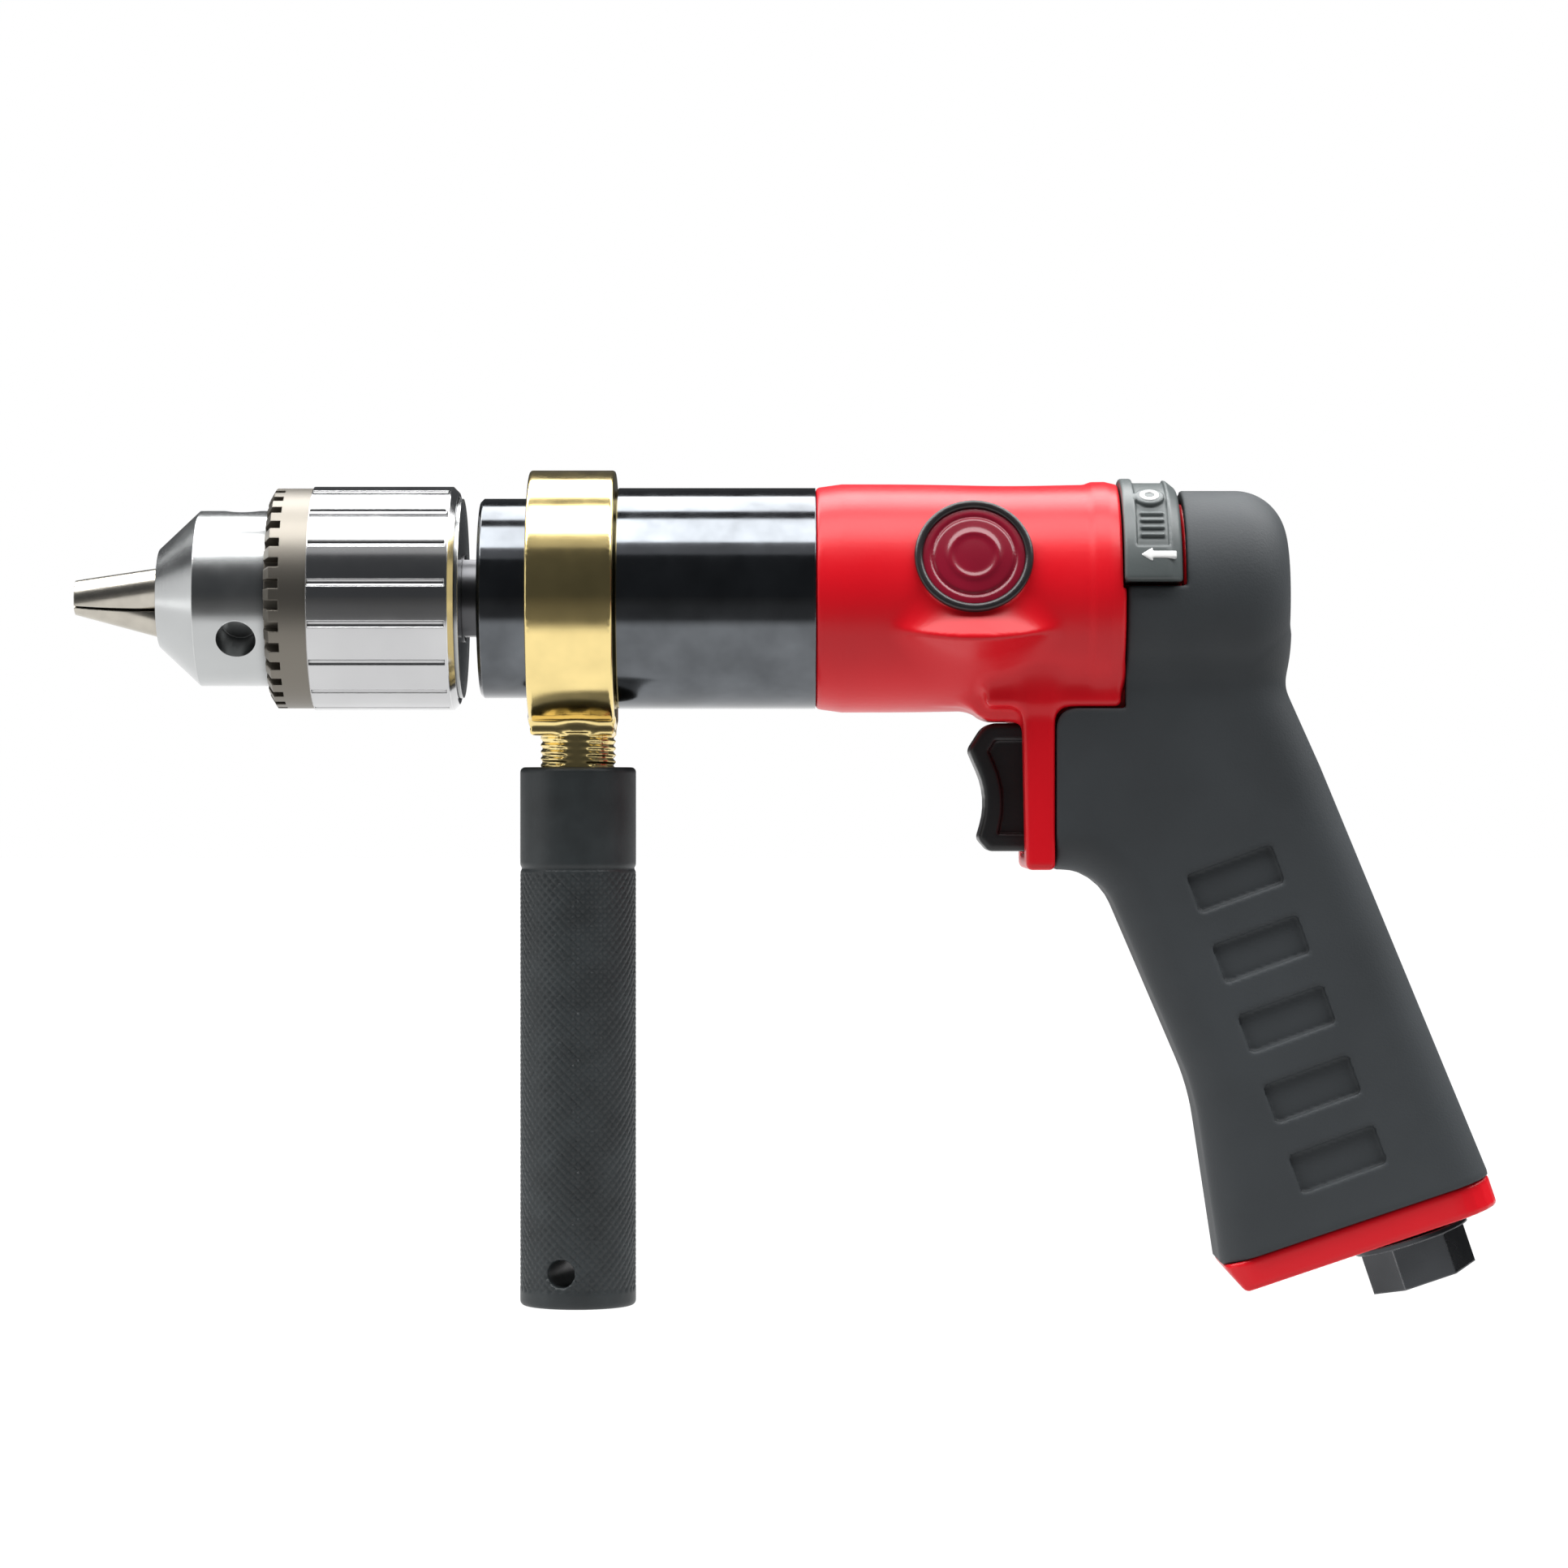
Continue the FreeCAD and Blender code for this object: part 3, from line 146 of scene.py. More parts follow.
# Each overhead softbox spans from one angle above the front horizon to another.
LAMP_HEIGHT, LAMP_LENGTH = 0.85, 2.6
lamp_rows = (("skirt_softbox", 44, 58, 0.4), ("front_softbox", 58, 88, 7.0),
             ("back_softbox", 100, 130, 7.0))
for lamp_name, start_angle, end_angle, brightness in lamp_rows:
    near, far = (-LAMP_HEIGHT / math.tan(math.radians(angle)) for angle in (start_angle, end_angle))
    lamp_y = (near + far) / 2
    softbox(lamp_name, (middle_x, lamp_y, LAMP_HEIGHT), (LAMP_LENGTH, far - near),
            (middle_x, lamp_y, 0), brightness)
softbox("chuck_fill", (middle_x - 1.3, -0.25, 0.05), (0.9, 0.9), (middle_x, 0, 0), 1.1)


# --- Chuck jaws ---------------------------------------------------------------------------------
# Three ground tool-steel jaws that slide in leaning bores. They are hardened and straw-coloured
# from tempering, with bright corners where they meet the drill bit.


def finish(name, colour, metallic=0.0, rough=0.4, shine=0.5, blotch=0.12, blotch_size=0.02,
           rough_swing=0.06, grain_size=0.0006, grain_depth=0.0, lines=None, line_depth=0.0,
           edge_colour=None, edge_width=0.0003, painted_shade=0.0):
    """A material with cloudy colour, uneven gloss, grain or tool lines, rubbed edges, and painted shade in
    corners and recesses.
    """
    material = bpy.data.materials.new(name)
    material.use_nodes = True
    tree = material.node_tree
    shader = tree.nodes["Principled BSDF"]
    shader.inputs["Metallic"].default_value = metallic
    shader.inputs["Specular IOR Level"].default_value = shine
    place = tree.nodes.new("ShaderNodeTexCoord").outputs["Object"]

    def noise(scale, detail=3.0, stretch=(1, 1, 1)):
        mapping = tree.nodes.new("ShaderNodeMapping")
        mapping.inputs["Scale"].default_value = stretch
        tree.links.new(place, mapping.inputs["Vector"])
        texture = tree.nodes.new("ShaderNodeTexNoise")
        texture.inputs["Scale"].default_value = scale
        texture.inputs["Detail"].default_value = detail
        tree.links.new(mapping.outputs["Vector"], texture.inputs["Vector"])
        return texture.outputs["Fac"]

    clouds = noise(1.0 / blotch_size)
    ramp = tree.nodes.new("ShaderNodeValToRGB")
    stops = zip(ramp.color_ramp.elements, (0.3, 0.7), (1.0 - blotch, 1.0 + blotch))
    for stop, position, factor in stops:
        stop.position = position
        stop.color = [min(part * factor, 1.0) for part in colour] + [1.0]
    tree.links.new(clouds, ramp.inputs["Fac"])
    shown = ramp.outputs["Color"]

    rounding = tree.nodes.new("ShaderNodeBevel")
    rounding.samples = 4
    rounding.inputs["Radius"].default_value = edge_width
    if edge_colour:
        geometry = tree.nodes.new("ShaderNodeNewGeometry")
        facing = tree.nodes.new("ShaderNodeVectorMath")
        facing.operation = "DOT_PRODUCT"
        tree.links.new(rounding.outputs["Normal"], facing.inputs[0])
        tree.links.new(geometry.outputs["Normal"], facing.inputs[1])
        worn = tree.nodes.new("ShaderNodeMapRange")
        worn.inputs["From Min"].default_value = 0.985
        worn.inputs["From Max"].default_value = 0.90
        tree.links.new(facing.outputs["Value"], worn.inputs["Value"])
        patchy = tree.nodes.new("ShaderNodeMath")
        patchy.operation = "MULTIPLY"
        tree.links.new(worn.outputs["Result"], patchy.inputs[0])
        tree.links.new(noise(900.0), patchy.inputs[1])
        rubbed = tree.nodes.new("ShaderNodeMix")
        rubbed.data_type = "RGBA"
        tree.links.new(patchy.outputs["Value"], rubbed.inputs["Factor"])
        tree.links.new(shown, rubbed.inputs["A"])
        rubbed.inputs["B"].default_value = [*edge_colour, 1.0]
        shown = rubbed.outputs["Result"]
    # Painted shade: the colour is darkened where ambient occlusion finds corners, creases and recesses.
    if painted_shade:
        openness = tree.nodes.new("ShaderNodeAmbientOcclusion")
        openness.samples = 6
        openness.inputs["Distance"].default_value = 0.003
        shade_factor = tree.nodes.new("ShaderNodeMapRange")
        shade_factor.inputs["From Min"].default_value = 0.25
        shade_factor.inputs["From Max"].default_value = 0.85
        shade_factor.inputs["To Min"].default_value = 1.0 - painted_shade
        tree.links.new(openness.outputs["AO"], shade_factor.inputs["Value"])
        shaded = tree.nodes.new("ShaderNodeVectorMath")
        shaded.operation = "SCALE"
        tree.links.new(shown, shaded.inputs[0])
        tree.links.new(shade_factor.outputs["Result"], shaded.inputs["Scale"])
        shown = shaded.outputs["Vector"]
    tree.links.new(shown, shader.inputs["Base Color"])

    gloss = tree.nodes.new("ShaderNodeMapRange")
    gloss.inputs["To Min"].default_value = max(rough - rough_swing, 0.02)
    gloss.inputs["To Max"].default_value = rough + rough_swing
    tree.links.new(noise(1.0 / (blotch_size * 0.35)), gloss.inputs["Value"])
    tree.links.new(gloss.outputs["Result"], shader.inputs["Roughness"])

    skin = rounding.outputs["Normal"]
    for depth, height in ((grain_depth, noise(1.0 / grain_size, 2.0)),
                          (line_depth, noise(1.0, 1.0, lines or (1, 1, 1)))):
        if depth:
            bump = tree.nodes.new("ShaderNodeBump")
            bump.inputs["Strength"].default_value = 1.0
            bump.inputs["Distance"].default_value = depth
            tree.links.new(height, bump.inputs["Height"])
            tree.links.new(skin, bump.inputs["Normal"])
            skin = bump.outputs["Normal"]
    tree.links.new(skin, shader.inputs["Normal"])
    return material


def dress(material, *node_names):
    """Give CAD nodes their finish."""
    for node_name in node_names:
        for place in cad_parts[node_name].material_slots:
            place.material = material


# Fine lines round the tool's axis, as a lathe leaves them.
TURNED = (5000, 60, 60)
jaw_steel = finish("ground_jaw_steel", (0.50, 0.47, 0.41), metallic=1.0, rough=0.24, blotch_size=0.006,
                   lines=(900, 4000, 4000), line_depth=0.000003, edge_colour=(0.85, 0.83, 0.78))
dress(jaw_steel, "chuck_jaw_1", "chuck_jaw_2", "chuck_jaw_3")

# --- Chuck body ---------------------------------------------------------------------------------
# Turned from one steel bar: a cone in front, a straight part with three key holes, and the tail
# inside the sleeve. It is left bright with a satin grain and fine tool lines round it.
# Painted shade darkens the body's key holes and other recesses.
body_steel = finish("satin_turned_steel", (0.48, 0.49, 0.49), metallic=1.0, rough=0.23, blotch=0.05,
                    lines=TURNED, line_depth=0.000006, edge_colour=(0.90, 0.90, 0.90), painted_shade=0.9)
dress(body_steel, "chuck_body")
screw_steel = finish("screw_steel", (0.30, 0.30, 0.31), metallic=1.0, rough=0.3,
                     edge_colour=(0.6, 0.6, 0.6))
dress(screw_steel, "chuck_lock_screw")

# --- Chuck sleeve -------------------------------------------------------------------------------
# The sleeve is ground, polished and fluted for the hand, with the key's teeth cut in its front
# ring. The split nut that drives the jaws is pressed inside it.
# Painted shade darkens the gaps between the key teeth and the sleeve's other recesses.
sleeve_steel = finish("polished_sleeve_steel", (0.54, 0.54, 0.545), metallic=1.0, rough=0.14, blotch=0.05,
                      rough_swing=0.04, lines=TURNED, line_depth=0.0000025, edge_colour=(0.92, 0.92, 0.92),
                      painted_shade=0.92)
# The toothed ring is left as cut, duller and browner than the polished grip behind it.
KEY_RING_WIDTH, ZONE_EDGE = 0.0088, 0.0002
key_ring_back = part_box("chuck_sleeve")[0].x + KEY_RING_WIDTH
sleeve_tree = sleeve_steel.node_tree
sleeve_shader = sleeve_tree.nodes["Principled BSDF"]
sleeve_place = sleeve_tree.nodes.new("ShaderNodeSeparateXYZ")
sleeve_tree.links.new(sleeve_tree.nodes.new("ShaderNodeTexCoord").outputs["Object"], sleeve_place.inputs[0])
as_cut = sleeve_tree.nodes.new("ShaderNodeMapRange")
as_cut.inputs["From Min"].default_value = key_ring_back + ZONE_EDGE
as_cut.inputs["From Max"].default_value = key_ring_back - ZONE_EDGE
sleeve_tree.links.new(sleeve_place.outputs["X"], as_cut.inputs["Value"])
for socket_name, dull in (("Base Color", (0.20, 0.185, 0.16, 1.0)), ("Roughness", 0.42)):
    socket = sleeve_shader.inputs[socket_name]
    polished = socket.links[0].from_socket
    zone = sleeve_tree.nodes.new("ShaderNodeMix")
    zone.data_type = "RGBA" if socket_name == "Base Color" else "FLOAT"
    zone_slots = [slot for slot in zone.inputs if slot.enabled]
    sleeve_tree.links.new(as_cut.outputs["Result"], zone_slots[0])
    sleeve_tree.links.new(polished, zone_slots[1])
    zone_slots[2].default_value = dull
    sleeve_tree.links.new([slot for slot in zone.outputs if slot.enabled][0], socket)
dress(sleeve_steel, "chuck_sleeve")
gear_steel = finish("oiled_gear_steel", (0.36, 0.36, 0.37), metallic=1.0, rough=0.3, blotch_size=0.008,
                    lines=TURNED, line_depth=0.000004, edge_colour=(0.65, 0.65, 0.65))
dress(gear_steel, "chuck_scroll_nut")

# --- Spindle, bearings and gears ----------------------------------------------------------------
# The spindle screws into the chuck and carries the last planets. Two planet stages in one ring
# gear bring the motor's speed down; all are oiled steel, and the bearings are bright.
bearing_steel = finish("polished_bearing_steel", (0.62, 0.62, 0.64), metallic=1.0, rough=0.12,
                       rough_swing=0.03, edge_colour=(0.85, 0.85, 0.85))
seal_rubber = finish("seal_rubber", (0.02, 0.02, 0.02), rough=0.6, grain_depth=0.00002)
planets = [stage + str(place) for stage in ("output_planet_", "input_planet_") for place in (1, 2, 3)]
bearings = [place + part for place in ("spindle_bearing_", "rotor_front_bearing_", "rotor_rear_bearing_")
            for part in ("outer_ring", "inner_ring", "balls")]
dark_steel = finish("blackened_spindle_steel", (0.10, 0.10, 0.105), metallic=1.0, rough=0.3, lines=TURNED,
                    line_depth=0.000004, edge_colour=(0.4, 0.4, 0.4))
dress(dark_steel, "spindle")
dress(gear_steel, "ring_gear", "input_carrier", *planets)
dress(bearing_steel, "output_planet_pins", "input_planet_pins", *bearings)
dress(seal_rubber, "spindle_seal")

# --- Gear case ----------------------------------------------------------------------------------
# A hardened steel tube, turned and blackened, then polished so that it shines like dark glass.
# Its rear end slides into the motor housing.
case_black = finish("polished_black_oxide", (0.120, 0.128, 0.138), metallic=1.0, rough=0.12, blotch=0.25,
                    blotch_size=0.012, rough_swing=0.05, lines=TURNED, line_depth=0.0000015,
                    edge_colour=(0.35, 0.35, 0.36))
dress(case_black, "gear_case")

# --- Air motor ----------------------------------------------------------------------------------
# Ground iron end plates and an offset cylinder hold the rotor with its five fibre vanes. A
# rotary valve behind them sends the air to one side or the other.
motor_iron = finish("ground_motor_iron", (0.28, 0.28, 0.28), metallic=1.0, rough=0.34, lines=TURNED,
                    line_depth=0.000005, edge_colour=(0.5, 0.5, 0.5))
vane_fibre = finish("vane_fibre", (0.30, 0.17, 0.07), rough=0.6, blotch=0.3, blotch_size=0.003,
                    grain_depth=0.00003)
bronze = finish("valve_bronze", (0.55, 0.36, 0.18), metallic=1.0, rough=0.28,
                edge_colour=(0.75, 0.55, 0.35))
dress(motor_iron, "motor_front_plate", "motor_rear_plate", "motor_cylinder")
dress(gear_steel, "rotor")
dress(vane_fibre, "rotor_vanes")
dress(bronze, "reverse_valve", "throttle_bush", "inlet_screen")
dress(bearing_steel, "reverse_drive_pin", "trigger_stem", "throttle_valve", "throttle_spring")
dress(seal_rubber, "throttle_seal", "inlet_seal")

# --- Motor housing ------------------------------------------------------------------------------
# One die casting in red enamel: a barrel round the motor, a shroud and a strap round the
# trigger, and a core inside the grip. A boss on its side carries the badge over a small ledge.


def melt(first, second, reach):
    """Both shapes together, with a fillet where they meet."""
    share = np.clip(0.5 + 0.5 * (second - first) / reach, 0, 1)
    return second + (first - second) * share - reach * share * (1 - share)


def pare(shape, tool, reach):
    """A shape with a tool's space cut away and the new edge eased."""
    return -melt(-shape, tool, reach)


def within(radius, *sides):
    """What lies inside all the sides, with its edges rounded."""
    shifted = [side + radius for side in sides]
    outside = np.sqrt(sum(np.maximum(side, 0) ** 2 for side in shifted))
    return outside + np.minimum(np.maximum.reduce(np.broadcast_arrays(*shifted)), 0) - radius


def between(place, low, high):
    """A slab from low to high."""
    return np.maximum(low - place, place - high)


def arced(corners, steps=6):
    """Points of an outline whose corners are (across, up) or (across, up, radius)."""
    points = []
    for index, corner in enumerate(corners):
        here = np.array(corner[:2])
        if len(corner) == 2:
            points.append(here)
            continue
        before = np.array(corners[index - 1][:2]) - here
        after = np.array(corners[(index + 1) % len(corners)][:2]) - here
        before /= np.linalg.norm(before)
        after /= np.linalg.norm(after)
        half = math.acos(float(before @ after)) / 2
        centre = here + (before + after) / np.linalg.norm(before + after) * corner[2] / math.sin(half)
        arms = [here + arm * corner[2] / math.tan(half) - centre for arm in (before, after)]
        for step in range(steps + 1):
            arm = arms[0] * (1 - step / steps) + arms[1] * step / steps
            points.append(centre + arm / np.linalg.norm(arm) * corner[2])
    return points


def outline(corners, across, up):
    """Signed distance to a closed outline of straight sides, less than zero inside."""
    nearest, inside = np.inf, False
    for start, end in zip(corners, corners[1:] + corners[:1]):
        side = end - start
        along = np.clip(((across - start[0]) * side[0] + (up - start[1]) * side[1]) / (side @ side), 0, 1)
        away = (across - start[0] - side[0] * along) ** 2 + (up - start[1] - side[1] * along) ** 2
        nearest = np.minimum(nearest, away)
        if side[1]:
            crosses = (start[1] <= up) != (end[1] <= up)
            inside = inside ^ (crosses & (across < start[0] + (up - start[1]) * side[0] / side[1]))
    return np.where(inside, -1.0, 1.0) * np.sqrt(nearest)


MM = 0.001


def carved(name, shape, low, high, grain):
    """A closed mesh of the surface where a shape's distance, in millimetres, is zero."""
    margin = 2.5 * grain
    low, high = np.array(low, float) - margin, np.array(high, float) + margin
    axes = [np.arange(start, end, grain) for start, end in zip(low, high)]
    distance = shape(*np.meshgrid(*axes, indexing="ij", sparse=True))
    value = np.array(np.broadcast_to(distance, [len(axis) for axis in axes]))
    inside = value < 0
    corners = sum(inside[i:i - 1 or None, j:j - 1 or None, k:k - 1 or None].astype(np.int8)
                  for i in (0, 1) for j in (0, 1) for k in (0, 1))
    cells = np.argwhere((corners > 0) & (corners < 8))
    number = np.full(corners.shape, -1)
    number[tuple(cells.T)] = np.arange(len(cells))
    total, count = np.zeros((len(cells), 3)), np.zeros(len(cells))
    quads = []
    for axis in range(3):
        side, other = (axis + 1) % 3, (axis + 2) % 3
        for shift in ((0, 0), (1, 0), (0, 1), (1, 1)):
            start = cells.copy()
            start[:, side] += shift[0]
            start[:, other] += shift[1]
            end = start.copy()
            end[:, axis] += 1
            first, last = value[tuple(start.T)], value[tuple(end.T)]
            crosses = (first < 0) != (last < 0)
            reached = start.astype(float)
            reached[:, axis] += np.where(crosses, first / np.where(crosses, first - last, 1), 0)
            total[crosses] += reached[crosses]
            count[crosses] += 1
        lower, upper = np.moveaxis(inside, axis, 0)[:-1], np.moveaxis(inside, axis, 0)[1:]
        edges = np.argwhere(np.moveaxis(lower != upper, 0, axis))
        ring = []
        for shift in ((0, 0), (1, 0), (1, 1), (0, 1)):
            cell = edges.copy()
            cell[:, side] -= shift[0]
            cell[:, other] -= shift[1]
            ring.append(number[tuple(cell.T)])
        ring = np.stack(ring, 1)
        falling = ~inside[tuple(edges.T)]
        ring[falling] = ring[falling][:, ::-1]
        quads.append(ring)
    points = low + grain * total / count[:, None]
    step = grain * 0.1
    for _ in range(3):
        here = shape(*points.T)
        slope = np.stack([shape(*(points + step * way).T) - here for way in np.eye(3)], 1) / step
        move = here[:, None] * slope / np.maximum((slope ** 2).sum(1), 0.25)[:, None]
        points -= np.clip(move, -0.5 * grain, 0.5 * grain)
    quads = np.concatenate(quads)
    mesh = bpy.data.meshes.new(name)
    mesh.from_pydata((points * MM).tolist(), [], quads.tolist())
    mesh.shade_smooth()
    piece = bpy.data.objects.new(name, mesh)
    scene.collection.objects.link(piece)
    return piece


def box_mm(node_name):
    """A CAD node's lowest and highest corners in millimetres."""
    return [np.array(corner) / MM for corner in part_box(node_name)]


def made(name, shape, low, high, grain, material, body, slot_name, *node_names):
    """A carved piece in its finish, riding its body in the CAD nodes' place."""
    piece = carved(name, shape, low, high, grain)
    piece.data.materials.append(material)
    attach(piece, body)
    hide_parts(*node_names)


house_front = box_mm("motor_housing")[0][0]
strap_low, strap_high = house_front + 42.3, house_front + 48.5
barrel_end = house_front + 62.5
ring_low, ring_high = box_mm("reverse_ring")
badge_low, badge_high = box_mm("badge")
trigger_low, trigger_high = box_mm("trigger")
SHELF_Z, STRAP_FOOT, GRIP_HALF = -22.5, -55.6, 16.5
SHROUD_HALF, SHROUD_FOOT, SLOT_HALF = 11, -25.4, 8.2
MOTOR_RADIUS, MOTOR_BACK = 20.5, 203.5
VALVE_RADIUS, VALVE_BACK = 14.25, 222
HEAD_RADIUS, HEAD_BACK = 19.3, 246
BADGE_LEAN, BADGE_RADIUS, BOSS_RADIUS = math.radians(71), 12.0, 11.7
lean_sin, lean_cos = math.sin(BADGE_LEAN), math.cos(BADGE_LEAN)
badge_x = (badge_low[0] + badge_high[0]) / 2
badge_top = -(badge_low[1] + BADGE_RADIUS * lean_cos) / lean_sin
# The ledge is a lens between a face that looks up and an underside, each so far from the axis.
LEDGE_FACE, LEDGE_UNDER, LEDGE_HALF = math.radians(32), math.radians(60), 15.0
FACE_OUT, UNDER_OUT, LEDGE_TAPER = 19.7, 22.3, 4.4
ledge_x = badge_x + 0.4


def badge_round(x, y, z):
    """Distance from the badge's axis, and height along it."""
    return np.hypot(x - badge_x, y * lean_cos + z * lean_sin), z * lean_cos - y * lean_sin


def trigger_slot(x, y, z):
    """The opening that the trigger slides in."""
    return within(0.6, between(x, strap_low - 3, 204), np.abs(y) - SLOT_HALF,
                  between(z, trigger_low[2] - 0.6, -25.1))


def housing_shape(x, y, z):
    """The barrel with its rear flange, ledge, boss, shelf, strap and shroud, hollowed for the motor."""
    radial = np.sqrt(y ** 2 + z ** 2)
    lip = np.minimum(22.7 + (x - house_front) * 0.14, 23.45)
    waist = lip - 0.35 * np.exp(-((x - badge_x - 8) / 14) ** 2)
    flange = 0.55 * np.clip((x - barrel_end + 7.6) / 1.6, 0, 1) - 0.25 * np.maximum(x - barrel_end + 3.2, 0)
    barrel = within(0.9, radial - waist - flange, between(x, house_front, barrel_end))
    sink = LEDGE_TAPER * ((x - ledge_x) / LEDGE_HALF) ** 2
    ledge_face = z * math.sin(LEDGE_FACE) - y * math.cos(LEDGE_FACE) - FACE_OUT + sink
    ledge_under = -z * math.sin(LEDGE_UNDER) - y * math.cos(LEDGE_UNDER) - UNDER_OUT + sink * 1.05
    ledge = within(0.8, ledge_face, ledge_under, np.abs(x - ledge_x) - LEDGE_HALF - 3, y + 8, z + 1)
    barrel = melt(barrel, ledge, 3.0)
    shelf = within(1.4, between(x, house_front + 34.5, barrel_end - 0.6), np.abs(y) - GRIP_HALF,
                   between(z, SHELF_Z, -8))
    strap = within(1.2, between(x, strap_low + (z + 38) * -0.02, strap_high), np.abs(y) - GRIP_HALF,
                   between(z, STRAP_FOOT, -14))
    shroud = within(1.6, between(x, house_front + 28.5, strap_high - 1), np.abs(y) - SHROUD_HALF,
                    between(z, SHROUD_FOOT, -8), (house_front + 32 - x - (z + 23) * 0.9) * 0.74)
    badge_away, badge_out = badge_round(x, y, z)
    boss = within(0.5, badge_away - BOSS_RADIUS, between(badge_out, 10, 22.9))
    casting = melt(melt(melt(barrel, shelf, 2.5), strap, 3.5), shroud, 2.4)
    casting = melt(casting, boss, 0.3)
    head = within(8.5, radial - HEAD_RADIUS, between(x, barrel_end - 20, HEAD_BACK))
    casting = np.minimum(casting, head)
    window = within(0.3, between(x, ring_low[0] - 0.3, ring_high[0] + 0.4), 16.0 - radial, 1.2 - z)
    motor_room = within(0.3, radial - MOTOR_RADIUS, between(x, house_front - 5, MOTOR_BACK))
    valve_room = within(0.3, radial - VALVE_RADIUS, between(x, house_front, VALVE_BACK))
    for tool, ease in ((window, 0.3), (motor_room, 0.4), (valve_room, 0.4), (trigger_slot(x, y, z), 0.5)):
        casting = pare(casting, tool, ease)
    return casting


red_enamel = finish("red_enamel", (0.66, 0.005, 0.013), rough=0.32, shine=0.32, blotch=0.06,
                    blotch_size=0.03, grain_size=0.0012, grain_depth=0.00002, edge_width=0.0002)
made("motor_housing_casting", housing_shape, (house_front, -29, STRAP_FOOT), (HEAD_BACK, 24.5, 24.5), 0.6,
     red_enamel, "housing", "red_paint", "motor_housing")

# --- Badge --------------------------------------------------------------------------------------
# A pressed metal disc glued on the boss. Its domed face is dark red enamel with a raised ring and a
# grooved ring, and its raised rim is glossy black.
FACE_RADIUS = 10.4


def badge_rim_shape(x, y, z):
    away, out = badge_round(x, y, z)
    return within(0.7, away - BADGE_RADIUS, FACE_RADIUS - 0.1 - away, between(out, 22.8, badge_top))


def badge_face_shape(x, y, z):
    away, out = badge_round(x, y, z)
    dome = badge_top - 0.8 + 0.7 * (1 - (away / FACE_RADIUS) ** 2)
    rings = 0.30 * np.exp(-((away - 4.8) / 0.7) ** 2) - 0.35 * np.exp(-((away - 8.4) / 0.4) ** 2)
    return np.maximum(away - FACE_RADIUS, np.maximum(out - dome - rings, 22.9 - out))


badge_black = finish("gloss_badge_black", (0.018, 0.016, 0.017), rough=0.22, edge_colour=(0.20, 0.19, 0.19))
badge_red = finish("badge_enamel", (0.20, 0.006, 0.020), rough=0.16, blotch=0.15, rough_swing=0.04)
badge_box = (badge_low - 0.5, badge_high + 0.5)
made("badge_rim", badge_rim_shape, *badge_box, 0.3, badge_black, "housing", "black_plastic", "badge")
made("badge_face", badge_face_shape, *badge_box, 0.25, badge_red, "housing", "badge_enamel", "badge")

# --- Reverse ring -------------------------------------------------------------------------------
# A moulded saddle of grey plastic, turned by the thumb to change direction. It has a scooped
# thumb panel with ribs, a raised lock button, and a white arrow on each side for the direction.
RING_OUT, RING_IN = 24.6, 16.3
RING_MIDDLE, RING_HALF, PANEL_HALF = math.radians(12), math.radians(71), math.radians(54)
BUTTON_ANGLE = math.radians(34)
ring_x = ring_low[0]


def round_axis(y, z):
    """Distance from the tool's axis, and the angle from its top towards the near side."""
    return np.sqrt(y ** 2 + z ** 2), np.arctan2(-y, z)


def button_round(x, y, z):
    """Distance from the lock button's axis."""
    return np.hypot(x - ring_x - 5.6, z * math.sin(BUTTON_ANGLE) + y * math.cos(BUTTON_ANGLE))


def ring_shape(x, y, z):
    """The saddle with its sloping rear edge, thumb panel, ribs and the button's seat."""
    radial, angle = round_axis(y, z)
    off_middle = np.abs(angle - RING_MIDDLE)
    panel = within(0.3, between(x, ring_x + 2.6, ring_x + 9.0), RING_OUT - 0.9 - radial,
                   (off_middle - PANEL_HALF) * RING_OUT)
    ribs = within(0.25, between(x, ring_x + 3.4, ring_x + 8.2), radial - RING_OUT + 0.3, 18 - radial,
                  np.abs(np.mod(angle * RING_OUT, 1.9) - 0.95) - 0.4, between(np.degrees(angle), 44, 63))
    saddle = within(0.6, between(x, ring_x, ring_high[0]), radial - RING_OUT, RING_IN - radial,
                    (off_middle - RING_HALF) * RING_OUT,
                    (radial - RING_OUT + (x - ring_high[0] + 2.8) * 0.8) * 0.78)
    saddle = melt(pare(saddle, panel, 0.5), ribs, 0.3)
    seat = within(0.3, button_round(x, y, z) - 3.0, 18 - radial, radial - RING_OUT - 0.1, y)
    return melt(saddle, seat, 0.4)


def button_shape(x, y, z):
    """A small tube set in its seat."""
    radial, _ = round_axis(y, z)
    away = button_round(x, y, z)
    return within(0.2, away - 2.0, 1.0 - away, 23.4 - radial, radial - RING_OUT - 0.3, y)


def arrow_shape(angle_middle):
    """An arrow's shape, laid on the saddle at an angle from the top."""
    tip, head, end = ring_x + 3.2, ring_x + 5.6, ring_x + 10.4
    sides = arced([(tip, 0), (head, -1.5), (head, -0.75), (end, -0.75), (end, 0.75), (head, 0.75),
                   (head, 1.5)])

    def shape(x, y, z):
        radial, angle = round_axis(y, z)
        drawn = outline(sides, x, (angle - angle_middle) * RING_OUT)
        return within(0.15, drawn, radial - RING_OUT - 0.2, RING_OUT - 0.8 - radial)
    return shape


